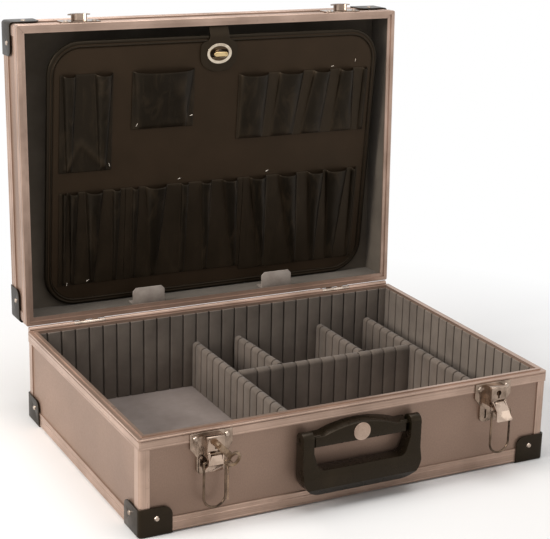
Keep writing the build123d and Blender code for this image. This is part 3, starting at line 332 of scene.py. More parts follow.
@dataclass(frozen=True)
class LeatherCloth:
    """Embossed vinyl cloth: pebbled grain with creases and a dull shine."""

    name: str
    tone: Colour
    second_tone: Colour
    roughness: Span = (0.42, 0.58)
    pebble: float = 900.0
    with_painted_shade: bool = False
    # Near-black tone of the painted shade on the swelling sleeves and in their crease hollows.
    deep: Colour = srgb(15, 13, 9)

    def make(self) -> Material:
        """Build the material; cloth with painted shade takes it where its attribute for it is high:
        near black in the hollows of its crease pattern, its tone on the crests.
        """
        g = Graph(self.name)
        pebble = g.cells(self.pebble)
        crease_and_shade = g.noise(1.0, 5.0, 0.65, g.stretch((70.0, 70.0, 24.0), (0.0, 0.25, 0.3)), 0.8)
        patch = g.noise(24.0, 3.0, 0.55)
        colour = g.mix(g.level(patch, 0.35, 0.7), self.tone, self.second_tone)
        colour = g.mix(g.level(pebble, 0.05, 0.6, 0.0, 0.3), colour, self.second_tone)
        if self.with_painted_shade:
            # Painted shade: near black in the crease hollows, cloth tone on the crests, laid on where
            # the attribute below is high.
            crease_shade = g.mix(g.level(crease_and_shade, 0.5, 0.72), self.deep, self.tone)
            painted_shade = g.node("Attribute", "Fac", {}, attribute_name="painted_shade")
            colour = g.mix(painted_shade, colour, crease_shade)
        rough = g.level(g.sum(patch, pebble), 0.5, 1.2, *self.roughness)
        normal = g.bump(pebble, 0.28, 0.00012, g.bump(crease_and_shade, 0.35 if self.with_painted_shade else 0.12, 0.0012))
        return g.done(colour, rough, normal, Specular_IOR_Level=0.22, Specular_Tint=WARM)


@dataclass(frozen=True)
class SpunDisc:
    """Satin metal disc with turning rings about its centre."""

    centre: Triple
    tone: Colour = srgb(188, 164, 148)
    ring: Colour = srgb(150, 128, 112)

    def make(self) -> Material:
        """Build the material."""
        g = Graph("spun_disc")
        offset = [-c for c in self.centre]
        moved = g.node("Mapping", "Vector", {"Vector": g.at, "Location": offset})
        flat = g.node("VectorMath", "Vector", {0: moved, 1: (1.0, 0.0, 1.0)}, operation="MULTIPLY")
        out = g.node("VectorMath", "Value", {0: flat}, operation="LENGTH")
        fac = g.node("TexNoise", "Fac", {"W": out, "Scale": 3800.0}, noise_dimensions="1D")
        patch = g.noise(160.0, 3.0, 0.6)
        colour = g.mix(g.level(fac, 0.3, 0.7), self.tone, self.ring)
        colour = g.mix(g.level(patch, 0.45, 0.7, 0.0, 0.5), colour, self.ring)
        rough = g.level(patch, 0.3, 0.7, 0.3, 0.45)
        return g.done(colour, rough, g.bump(fac, 0.25, 0.00008), Metallic=0.75)


@dataclass(frozen=True)
class PaintedSteel:
    """Pale grey paint over bent sheet, faintly orange-peeled."""

    tone: Colour = srgb(176, 164, 154)
    shade: Colour = srgb(150, 138, 128)

    def make(self) -> Material:
        """Build the material."""
        g = Graph("painted_tab")
        peel = g.noise(650.0, 3.0, 0.6)
        patch = g.noise(60.0, 3.0, 0.6)
        colour = g.mix(g.level(patch, 0.35, 0.7), self.tone, self.shade)
        return g.done(colour, g.level(patch, 0.3, 0.7, 0.4, 0.55), g.bump(peel, 0.15, 0.0001))


def metal(name: str, bright: Triple, second_tone: Triple, shine: Span) -> Material:
    """A plated metal, from two colours on the 0 to 255 scale and its roughness."""
    return NickelPlate(name, srgb(*bright), srgb(*second_tone), shine).make()


def lining(name: str, tone: Triple, shade: Triple, *fibre: float) -> Material:
    """A napped lining, from two colours on the 0 to 255 scale and its nap and depth."""
    return NappedLining(name, srgb(*tone), srgb(*shade), *fibre).make()


def cloth(name: str, tone: Triple, second_tone: Triple, *rest: object) -> Material:
    """A leathercloth, from two colours on the 0 to 255 scale, then its other settings."""
    return LeatherCloth(name, srgb(*tone), srgb(*second_tone), *rest).make()


class Finishes:
    """Every finish of the case, each made once."""

    def __init__(self) -> None:
        """Make the materials."""
        self.base_rail = RailAluminium(Run.BASE_RAIL).make()
        self.lid_rail = RailAluminium(Run.LID_RAIL).make()
        self.base_post = RailAluminium(Run.BASE_POST).make()
        self.lid_post = RailAluminium(Run.LID_POST).make()
        self.base_panel = PanelAluminium(Run.BASE_PANEL).make()
        self.lid_panel = PanelAluminium(Run.LID_PANEL).make()
        self.nickel = NickelPlate("nickel_latch").make()
        # Painted reflection: the near-black second tone in cloudy patches along the bail wires stands
        # in for the dark they mirror.
        self.wire = metal("nickel_wire", (128, 108, 90), (34, 24, 17), (0.08, 0.2))
        self.lever = metal("nickel_lever", (194, 173, 156), (128, 108, 93), (0.1, 0.24))
        self.brass = metal("brassy_knob", (210, 184, 136), (130, 102, 64), (0.12, 0.26))
        # Darker copy of the eyelet's metal for its sunk faces: painted shade in the recess.
        self.well_painted_shade = metal("eyelet_painted_shade", (84, 68, 50), (38, 30, 22), (0.24, 0.4))
        self.ring = metal("eyelet_ring", (214, 200, 180), (150, 132, 110), (0.12, 0.26))
        self.rivet = metal("nickel_rivet", (196, 180, 166), (132, 116, 102), (0.2, 0.36))
        self.key = metal("nickel_key", (158, 134, 110), (78, 60, 44), (0.18, 0.34))
        self.cap = BlackMoulding("cap_black").make()
        grip = srgb(20, 16, 9), srgb(32, 26, 17)
        self.grip = BlackMoulding("grip_black", *grip, (0.2, 0.32), 1800.0).make()
        self.wall = lining("wall_lining", (120, 109, 99), (100, 90, 81))
        self.lid_wall = lining("lid_lining", (112, 102, 90), (96, 87, 76), 1500.0, 0.0002)
        self.floor = lining("floor_lining", (150, 137, 130), (132, 119, 112), 1600.0, 0.00015)
        self.divider = lining("divider_cover", (112, 100, 90), (92, 82, 73))
        self.board = cloth("board_leathercloth", (44, 34, 24), (54, 42, 31))
        self.piping = cloth("piping_leathercloth", (20, 17, 11), (32, 27, 20), (0.28, 0.42), 1500.0)
        pocket = (46, 38, 28), (58, 48, 37), (0.32, 0.46), 1000.0, True
        self.pocket = cloth("pocket_leathercloth", *pocket)
        self.strap = cloth("strap_leathercloth", (34, 28, 20), (46, 38, 29), (0.38, 0.5), 1100.0)
        self.tab = PaintedSteel().make()
        self.badge = SpunDisc((0.0, -0.177, 0.075)).make()
        self.staple = metal("staple_wire", (230, 220, 206), (190, 176, 160), (0.2, 0.34))
        self.thread = cloth("sewing_thread", (34, 28, 20), (48, 40, 31), (0.5, 0.6), 2600.0)


def alone(obj: Obj) -> None:
    """Make an object the only one selected, and active."""
    bpy.ops.object.select_all(action="DESELECT")
    obj.select_set(True)
    bpy.context.view_layer.objects.active = obj


def placed(name: str) -> Obj:
    """Name the object just added, and put its place, turn and size into its mesh."""
    obj = bpy.context.object
    obj.name = name
    bpy.ops.object.transform_apply(location=True, rotation=True, scale=True)
    return obj


def box(name: str, low: Sequence[float], high: Sequence[float]) -> Obj:
    """Add a box between two corners.

    Args:
        name: Name of the new object.
        low: Lowest corner in millimetres.
        high: Highest corner in millimetres.

    Returns:
        The box, with its place in its mesh.
    """
    bpy.ops.object.select_all(action="DESELECT")
    middle = [(a + b) / 2 * MM for a, b in zip(low, high)]
    size = [abs(b - a) * MM for a, b in zip(low, high)]
    bpy.ops.mesh.primitive_cube_add(size=1.0, location=middle, scale=size)
    return placed(name)


def cylinder(
    name: str,
    radius: float,
    depth: float,
    middle: Triple,
    turn: Triple = (0.0, 0.0, 0.0),
    scale: Triple = (1.0, 1.0, 1.0),
    sides: int = 64,
) -> Obj:
    """Add a cylinder.

    Args:
        name: Name of the new object.
        radius: Radius in millimetres.
        depth: Length in millimetres.
        middle: Its middle in millimetres.
        turn: Turn about x, y and z, in radians.
        scale: Stretch along its own x, y and z.
        sides: Flats round it.

    Returns:
        The cylinder, with its place in its mesh.
    """
    bpy.ops.object.select_all(action="DESELECT")
    bpy.ops.mesh.primitive_cylinder_add(
        vertices=sides,
        radius=radius * MM,
        depth=depth * MM,
        location=[c * MM for c in middle],
        rotation=turn,
    )
    bpy.context.object.scale = scale
    return placed(name)


def edit(obj: Obj, kind: str, test: Callable[[object], bool]) -> None:
    """Go into edit mode with only the edges or faces selected that pass a test."""
    alone(obj)
    bpy.ops.object.mode_set(mode="EDIT")
    bpy.ops.mesh.select_mode(type=kind)
    bpy.ops.mesh.select_all(action="DESELECT")
    mesh = bmesh.from_edit_mesh(obj.data)
    for item in mesh.edges if kind == "EDGE" else mesh.faces:
        if test(item):
            item.select_set(True)
    bmesh.update_edit_mesh(obj.data)


def bevel_edges(
    obj: Obj, test: Callable[[Vector, Vector], bool], width: float, segments: int
) -> None:
    """Bevel the edges whose two ends, in millimetres, pass a test."""
    edit(obj, "EDGE", lambda edge: test(*(end.co / MM for end in edge.verts)))
    bpy.ops.mesh.bevel(offset=width * MM, segments=segments, affect="EDGES", clamp_overlap=True)
    bpy.ops.object.mode_set(mode="OBJECT")


def carve(obj: Obj, facing: Triple, steps: Sequence[Span]) -> None:
    """Inset the faces that look one way, step by step.

    Args:
        obj: The object.
        facing: The way that the faces look.
        steps: Width of each inset and how far the faces then sink, in millimetres.
    """
    ahead = Vector(facing)
    edit(obj, "FACE", lambda face: face.normal.dot(ahead) > 0.9)
    for width, sink in steps:
        bpy.ops.mesh.inset(thickness=width * MM)
        if sink:
            bpy.ops.transform.translate(value=ahead * -sink * MM)
    bpy.ops.object.mode_set(mode="OBJECT")


def modify(obj: Obj, kind: str, **settings: object) -> None:
    """Add a modifier and apply it at once."""
    alone(obj)
    modifier = obj.modifiers.new(kind.lower(), kind)
    for name, value in settings.items():
        setattr(modifier, name, value)
    bpy.ops.object.modifier_apply(modifier=modifier.name)


def soften(obj: Obj, width: float, segments: int, angle: float) -> None:
    """Round every edge sharper than an angle in degrees, to a width in millimetres."""
    modify(
        obj,
        "BEVEL",
        width=width * MM,
        segments=segments,
        limit_method="ANGLE",
        angle_limit=math.radians(angle),
        use_clamp_overlap=True,
    )


def smooth(obj: Obj, angle: float = 40.0) -> None:
    """Shade smooth except over edges sharper than an angle in degrees."""
    alone(obj)
    bpy.ops.object.shade_smooth_by_angle(angle=math.radians(angle))


def joined(pieces: Sequence[Obj], name: str) -> Obj:
    """Join objects into one of that name."""
    bpy.ops.object.select_all(action="DESELECT")
    for piece in pieces:
        piece.select_set(True)
    bpy.context.view_layer.objects.active = pieces[0]
    if len(pieces) > 1:
        bpy.ops.object.join()
    pieces[0].name = name
    return pieces[0]


def copied(obj: Obj, place: Matrix) -> Obj:
    """Copy an object with its own mesh, moved by a matrix in metres."""
    twin = obj.copy()
    twin.data = obj.data.copy()
    twin.data.transform(place)
    link(twin)
    return twin


def shift(x: float = 0.0, y: float = 0.0, z: float = 0.0) -> Matrix:
    """A move in millimetres."""
    return Matrix.Translation(Vector((x, y, z)) * MM)


def spin(angle: float) -> Matrix:
    """A turn about z, in degrees."""
    return Matrix.Rotation(math.radians(angle), 4, "Z")


def rounded(node: str, width: float, segments: int) -> Obj:
    """Copy a CAD node and round its edges sharper than 30 degrees.

    Args:
        node: The CAD node to copy.
        width: Width of the rounding in millimetres.
        segments: Steps of the rounding.

    Returns:
        The rounded copy.
    """
    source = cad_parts[node]
    obj = bpy.data.objects.new(f"{node}_rounded", source.data.copy())
    link(obj)
    obj.data.materials.clear()
    alone(obj)
    bpy.ops.object.mode_set(mode="EDIT")
    bpy.ops.mesh.select_all(action="SELECT")
    bpy.ops.mesh.remove_doubles(threshold=0.000002)
    bpy.ops.mesh.dissolve_limited(angle_limit=math.radians(0.4))
    bpy.ops.object.mode_set(mode="OBJECT")
    soften(obj, width, segments, 30.0)
    smooth(obj)
    return obj


def dress(material: Material, *nodes: str) -> None:
    """Give CAD nodes a finish."""
    for name in nodes:
        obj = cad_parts[name]
        if not obj.material_slots:
            obj.data.materials.append(material)
        for slot in obj.material_slots:
            slot.material = material


def settle(
    obj: Obj, material: Material, body: str, slot: str, *nodes: str, place: Matrix = Matrix()
) -> None:
    """Finish a new piece: its place, material, body and the nodes it replaces.

    Args:
        obj: The piece.
        material: Its finish.
        body: The CAD body it moves with.
        slot: Not used.
        nodes: CAD nodes that it stands for.
        place: The move to its place, in metres.
    """
    obj.data.transform(place)
    obj.data.materials.clear()
    obj.data.materials.append(material)
    if nodes:
        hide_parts(*nodes)
    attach(obj, body)
    LOG.info("%s rides on %s", obj.name, body)


def swap(
    node: str, width: float, material: Material, body: str, slot: str, segments: int = 2
) -> None:
    """Let a rounded copy of a CAD node stand for it, with its finish and body."""
    settle(rounded(node, width, segments), material, body, slot, node)


def height_sheet(name: str, rows: Sequence[Sequence[Vector]]) -> Obj:
    """Lay a grid over rows of points in millimetres, as one sheet.

    Args:
        name: Name of the new object.
        rows: Rows of points, all of one length.

    Returns:
        The sheet.
    """
    across, up = len(rows[0]), len(rows)
    bpy.ops.object.select_all(action="DESELECT")
    bpy.ops.mesh.primitive_grid_add(x_subdivisions=across - 1, y_subdivisions=up - 1, size=1.0)
    obj = bpy.context.object
    obj.name = name
    order = sorted(obj.data.vertices, key=lambda v: (round(v.co.y, 6), round(v.co.x, 6)))
    places = [vertex.index for vertex in order]
    for index, vertex in enumerate(places):
        obj.data.vertices[vertex].co = rows[index // across][index % across] * MM
    obj.data.attributes.new("step", "INT", "POINT")
    for index, vertex in enumerate(places):
        obj.data.attributes["step"].data[vertex].value = index
    return obj


def tube(name: str, points: Iterable[Vector], radius: float) -> Obj:
    """A round trim in a closed loop through points in millimetres, as a mesh."""
    curve = bpy.data.curves.new(name, "CURVE")
    curve.dimensions = "3D"
    curve.bevel_depth = radius * MM
    curve.bevel_resolution = 3
    line = [p * MM for p in points]
    spline = curve.splines.new("POLY")
    spline.points.add(len(line) - 1)
    for point, place in zip(spline.points, line):
        point.co = (*place, 1.0)
    spline.use_cyclic_u = True
    obj = bpy.data.objects.new(name, curve)
    link(obj)
    alone(obj)
    bpy.ops.object.convert(target="MESH")
    obj = bpy.context.object
    smooth(obj, 60.0)
    return obj


@dataclass
class Shell:
    """Base and lid: aluminium rails, faced panels, posts, black corner caps and rivets."""

    cap_round: float = 0.9

    def dress_nodes(self, finishes: Finishes) -> None:
        """Give the rails, panels, posts and rivets their finishes."""
        dress(finishes.base_rail, "base_rim_rail", "base_bottom_rail")
        dress(finishes.lid_rail, "lid_rim_rail", "lid_edge_rail")
        dress(finishes.base_post, "base_corner_posts")
        dress(finishes.lid_post, "lid_corner_posts")
        for part, finish, ends in (
            ("base", finishes.base_panel, ("front", "back", "bottom")),
            ("lid", finishes.lid_panel, ("front", "back", "top")),
        ):
            dress(finish, f"{part}_side_panels", *(f"{part}_{end}_panel" for end in ends))
        dress(finishes.rivet, "base_rivets", "lid_rivets")
        dress(finishes.lid_wall, "lid_back_lining", "lid_wall_lining")
        dress(finishes.floor, "floor_lining")

    def build_caps(self, finishes: Finishes) -> None:
        """Round the corner caps."""
        for part in ("base", "lid"):
            swap(f"{part}_corner_caps", self.cap_round, finishes.cap, part, "cap", 3)

    def build(self, finishes: Finishes) -> None:
        """Dress and build the whole shell."""
        self.dress_nodes(finishes)
        self.build_caps(finishes)


@dataclass
class Hinges:
    """Two five-knuckle hinges on the back rims, with a rolled bead on the line between them."""

    line: Span = (168.6, 100.0)
    bead_r: float = 3.2
    spans: Sequence[Span] = ((-227.0, -175.4), (-138.6, 138.6), (175.4, 227.0))

    def bead(self, start: float, end: float) -> Obj:
        """One length of the bead, on the hinge pins' own axis."""
        middle = ((start + end) / 2, *self.line)
        along_x = (0.0, math.pi / 2, 0.0)
        return cylinder("bead", self.bead_r, end - start, middle, along_x, sides=32)

    def build(self, finishes: Finishes) -> None:
        """Dress the leaves and pins, and lay the bead."""
        dress(finishes.rivet, "hinge_leaves_base", "hinge_leaves_lid", "hinge_pins")
        bead = joined([self.bead(start, end) for start, end in self.spans], "hinge_line_bead")
        smooth(bead)
        settle(bead, finishes.base_rail, "base", "rail")


@dataclass
class Latches:
    """Two draw latches with their plates, lock boxes, levers, bails and catches."""

    sheet_round: float = 0.35

    def build(self, finishes: Finishes) -> None:
        """Round the sheet pieces and dress the wires and pins."""
        for node, body, finish in (
            ("latch_plates", "base", finishes.nickel),
            ("lock_boxes", "base", finishes.nickel),
            ("lever_left", "lever_l", finishes.lever),
            ("lever_right", "lever_r", finishes.lever),
            ("catches", "lid", finishes.nickel),
        ):
            swap(node, self.sheet_round, finish, body, "latch")
        dress(finishes.wire, "lever_pins", "bail_left", "bail_right")


@dataclass
class Keys:
    """The key in the left lock, with a spare on its ring."""

    edge_round: float = 0.25

    def build(self, finishes: Finishes) -> None:
        """Round the keys and dress the ring."""
        swap("key", self.edge_round, finishes.key, "key", "key")
        swap("spare_key", self.edge_round, finishes.key, "spare", "key")
        dress(finishes.key, "key_ring")


@dataclass
class Handle:
    """Moulded carrying handle: arched bracket, plain round badge and a broad grip."""

    bracket_round: float = 1.0
    grip_round: float = 4.6
    badge_r: float = 9.25
    badge_at: Triple = (0.0, -177.0, 75.0)
    badge_t: float = 1.2
    dish: Sequence[Span] = ((0.9, 0.0), (0.35, 0.35), (5.6, 0.2))

    def build_badge(self, finishes: Finishes) -> None:
        """Turn the badge: a disc with a raised rim and a shallow dished face."""
        x, y, z = self.badge_at
        middle = (x, y - self.badge_t / 2, z)
        facing = (math.pi / 2, 0.0, 0.0)
        disc = cylinder("badge_disc", self.badge_r, self.badge_t, middle, facing)
        carve(disc, (0.0, -1.0, 0.0), self.dish)
        soften(disc, 0.22, 2, 30.0)
        smooth(disc, 32.0)
        settle(disc, finishes.badge, "base", "badge", "handle_badge")

    def build(self, finishes: Finishes) -> None:
        """Round the mouldings, then add the badge."""
        swap("handle_bracket", self.bracket_round, finishes.grip, "base", "grip", 3)
        swap("handle_grip", self.grip_round, finishes.grip, "handle", "grip", 6)
        dress(finishes.grip, "handle_pins")
        self.build_badge(finishes)


def ribs(
    starts: Sequence[float], ends: Sequence[float], make: Callable[[float, float], Obj], way: Vector
) -> list[Obj]:
    """Ribs in a row, those of one width modelled once and copied.

    Args:
        starts: Where each rib starts.
        ends: Where each rib ends.
        make: Models a rib from its start to its end.
        way: The direction of the row.

    Returns:
        The ribs in order.
    """
    firsts: dict[float, tuple[Obj, float]] = {}
    found = []
    for start, end in zip(starts, ends):
        width = round(end - start, 3)
        if width in firsts:
            first, origin = firsts[width]
            found.append(copied(first, shift(*(way * (start - origin)))))
        else:
            found.append(make(start, end))
            firsts[width] = (found[-1], start)
    return found


@dataclass
class RibbedLining:
    """Slotted lining round the base's walls: a backing with soft ribs at one pitch."""

    pitch: float = 16.2
    groove: float = 1.8
    deep: float = 2.6
    thick: float = 4.8
    low: float = 9.2
    high: float = 98.0
    edge_round: float = 0.8
    across: tuple[float, int] = (224.8, 13)
    along: tuple[float, int] = (155.0, 9)
    face_x: float = 220.0

    def rib(self, start: float, end: float) -> Obj:
        """One rib, soft along its face's edges."""
        rib = box("rib", (start, -self.deep - 0.2, self.low), (end, 0.0, self.high))
        bevel_edges(rib, lambda a, b: a.y > -0.1 and b.y > -0.1, self.edge_round, 3)
        return rib

    def wall(self, name: str, half: float, count: int) -> Obj:
        """One lining, its face on y = 0 and looking along +y.

        Args:
            name: Name of the piece.
            half: Half its length.
            count: Grooves on each side of its middle one.

        Returns:
            The joined backing and ribs.
        """
        grooves = [n * self.pitch for n in range(-count, count + 1)]
        starts = [-half] + [g + self.groove / 2 for g in grooves]
        ends = [g - self.groove / 2 for g in grooves] + [half]
        backing = box("backing", (-half, -self.thick, self.low), (half, -self.deep, self.high))
        pieces = [backing, *ribs(starts, ends, self.rib, Vector((1.0, 0.0, 0.0)))]
        wall = joined(pieces, name)
        smooth(wall)
        return wall

    def build(self, finishes: Finishes) -> None:
        """Build the four linings."""
        for node, (half, count), away, turn in (
            ("lining_front", self.across, shift(y=-self.along[0]), 0.0),
            ("lining_back", self.across, shift(y=self.along[0]), 180.0),
            ("lining_left", self.along, shift(x=-self.face_x), -90.0),
            ("lining_right", self.along, shift(x=self.face_x), 90.0),
        ):
            wall = self.wall(f"{node}_ribbed", half, count)
            settle(wall, finishes.wall, "base", "wall_lining", node, place=away @ spin(turn))


@dataclass
class Divider:
    """A padded divider: soft round-topped ribs on a thin core, with a tongue at each end."""

    name: str
    length: float
    slits: Sequence[float]
    place: Matrix
    tongues: Span = (0.0, 0.0)
    half: float = 5.0
    foot: float = 9.5
    top: float = 64.0
    slit: float = 1.6
    tongue_t: float = 1.2
    tongue_drop: float = 6.0
    core: float = 3.1
    core_in: float = 0.2
    core_drop: float = 1.9
    edge_round: float = 0.9

    def rib(self, start: float, end: float) -> Obj:
        """One rib between two slits, round on top and soft along its edges."""
        rib = box("rib", (-self.half, start, self.foot), (self.half, end, self.top))
        bevel_edges(
            rib,
            lambda a, b: min(a.z, b.z) > self.top - 0.1 and abs(a.x - b.x) < 0.1,
            self.half - 0.3,
            5,
        )
        bevel_edges(
            rib,
            lambda a, b: abs(a.y - b.y) < 0.01 and max(a.z, b.z) > self.foot + 0.1,
            min(self.edge_round, (end - start) / 3),
            2,
        )
        return rib

    def tongue(self, start: float, end: float) -> Obj:
        """The thin end that slips into a groove of a lining."""
        half = self.tongue_t / 2
        return box("tongue", (-half, start, self.foot), (half, end, self.top - self.tongue_drop))

    def build(self, finishes: Finishes) -> None:
        """Build the divider and set it in its place."""
        slits = [s for s in self.slits if self.slit < s < self.length - self.slit]
        starts = [0.0] + [s + self.slit / 2 for s in slits]
        ends = [s - self.slit / 2 for s in slits] + [self.length]
        near = (-self.core, self.core_in, self.foot + self.core_in)
        far = (self.core, self.length - self.core_in, self.top - self.core_drop)
        core = box("core", near, far)
        bevel_edges(core, lambda a, b: min(a.z, b.z) > self.top - 2.5 and abs(a.x - b.x) < 0.1, 2.0, 3)
        pieces = [core, *ribs(starts, ends, self.rib, Vector((0.0, 1.0, 0.0)))]
        if self.tongues[0]:
            pieces.append(self.tongue(-self.tongues[0], 0.3))
        if self.tongues[1]:
            pieces.append(self.tongue(self.length - 0.3, self.length + self.tongues[1]))
        divider = joined(pieces, f"divider_{self.name}_ribbed")
        smooth(divider)
        body, node = f"div_{self.name}", f"divider_{self.name}"
        settle(divider, finishes.divider, body, "divider", node, place=self.place)


@dataclass
class Compartments:
    """The five dividers that part the base into compartments."""

    pitch: float = 16.2
    face_y: float = 155.0
    gap: float = 0.5
    cross_y: float = 48.6
    long_x: Span = (-32.4, 194.4)
    short_x: float = 129.6
    skew: Span = (25.3, 21.0)
    half: float = 5.0

    def build(self, finishes: Finishes) -> None:
        """Build the dividers in order."""
        deep = 2 * (self.face_y - self.gap)
        middle = [deep / 2 + n * self.pitch for n in range(-9, 10)]
        for name, x in (("1", self.long_x[0]), ("4", self.long_x[1])):
            Divider(name, deep, middle, shift(x, -deep / 2), (1.7, 1.7)).build(finishes)
        start = self.long_x[0] + self.half + 0.3
        across = self.long_x[1] - self.half - 0.3 - start
        slits = [self.skew[0] + n * self.pitch - start for n in range(-2, 10)]
        turned = shift(start, self.cross_y) @ spin(-90.0)
        Divider("5", across, slits, turned, (1.8, 1.8)).build(finishes)
        front = self.cross_y + self.half + 0.4
        short = self.face_y - self.gap - front
        slits = sorted(short - (n + 0.55) * self.pitch for n in range(6))
        Divider("3", short, slits, shift(self.short_x, front), (0.0, 1.7)).build(finishes)
        lean = math.atan2(self.skew[0] - self.skew[1], short)
        askew = shift(self.skew[0], front) @ Matrix.Rotation(lean, 4, "Z")
        Divider("2", short, slits, askew, (1.8, 0.0)).build(finishes)


@dataclass
class PalletFrame:
    """Where the pallet stands: p across it, q up it and n out of its face."""

    tilt: float = math.radians(6.85)
    lid_angle: float = math.radians(-91.6)
    hinge: Span = (168.6, 100.0)
    x: float = 6.9
    half_d: float = 165.0
    rise: float = 9.2
    depth: float = 40.0
    piping: float = 2.5

    def matrix(self) -> Matrix:
        """The move from board coordinates to the case's own, in metres."""
        up = Vector((0.0, -math.cos(self.tilt), -math.sin(self.tilt)))
        out = Vector((0.0, math.sin(self.tilt), -math.cos(self.tilt)))
        origin = Vector((self.x, self.half_d - self.rise, 100.0 + self.depth)) - up * self.piping
        board = Matrix((Vector((1.0, 0.0, 0.0)), up, out)).transposed().to_4x4()
        board.translation = origin * MM
        hinge = shift(y=self.hinge[0], z=self.hinge[1])
        return hinge @ Matrix.Rotation(self.lid_angle, 4, "X") @ hinge.inverted() @ board


@dataclass
class PalletBoard:
    """The tool pallet's board: leathercloth over board, with piping and a turned-in welt."""

    width: float = 407.0
    height: float = 306.0
    thick: float = 4.0
    piping_r: float = 2.5
    corner_r: float = 38.0
    welt_in: float = 6.2
    seam: float = 0.5
    sink: float = 0.55
    stitch: Triple = (1.3, 0.28, 0.22)
    pitch: float = 4.2

    def outline(self, inset: float, n: float, steps: int = 14) -> list[Vector]:
        """Points round the board's edge, inset by a distance and at a height."""
        half = self.width / 2 - inset
        low, high = inset, self.height - inset
        r = self.corner_r - inset
        points = []
        for cx, cy, start in (
            (half - r, high - r, 0),
            (-half + r, high - r, 90),
            (-half + r, low + r, 180),
            (half - r, low + r, 270),
        ):
            for step in range(steps + 1):
                a = math.radians(start + 90 * step / steps)
                points.append(Vector((cx + r * math.cos(a), cy + r * math.sin(a), n)))
        return points

    def board(self) -> Obj:
        """The covered board, with a sewn groove inside its edge."""
        half = self.width / 2 - self.piping_r
        low, high = self.piping_r, self.height - self.piping_r
        board = box("board", (-half, low, -self.thick / 2), (half, high, self.thick / 2))
        r = self.corner_r - self.piping_r
        bevel_edges(board, lambda a, b: abs(a.z - b.z) > self.thick / 2, r, 14)
        margin = self.welt_in - self.piping_r + 0.9
        carve(board, OUT, ((margin, 0.0), (self.seam, self.sink), (self.seam, -self.sink)))
        smooth(board)
        return board

    def stitches(self) -> Obj:
        """Short stitches round the welt, modelled once and copied."""
        long, wide, _ = self.stitch
        first = box("stitch", (-long, -wide, -0.2), self.stitch)
        bevel_edges(first, lambda a, b: max(a.z, b.z) > 0.1, 0.18, 2)
        line = self.outline(self.welt_in + 2.4, self.thick / 2)
        line.append(line[0])
        pieces, left = [], 0.0
        for a, b in zip(line, line[1:]):
            run = (b - a).length
            along = (b - a).normalized()
            turn = Matrix.Rotation(math.atan2(along.y, along.x), 4, "Z")
            while left < run:
                pieces.append(copied(first, shift(*(a + along * left)) @ turn))
                left += self.pitch
            left -= run
        bpy.data.objects.remove(first)
        return joined(pieces, "pallet_stitches")

    def build(self, finishes: Finishes, place: Matrix) -> None:
        """Build the board, its piping, the welt and the stitches."""
        board = self.board()
        board.name = "pallet_board_covered"
        settle(board, finishes.board, "pallet", "pallet", "pallet_board", place=place)
        edge = tube("pallet_piping", self.outline(self.piping_r, 0.0), self.piping_r)
        welt = tube("pallet_welt", self.outline(self.welt_in, self.thick / 2 - 0.2), 1.0)
        settle(edge, finishes.piping, "pallet", "pallet", place=place)
        settle(welt, finishes.piping, "pallet", "pallet", place=place)
        settle(self.stitches(), finishes.thread, "pallet", "pallet", place=place)


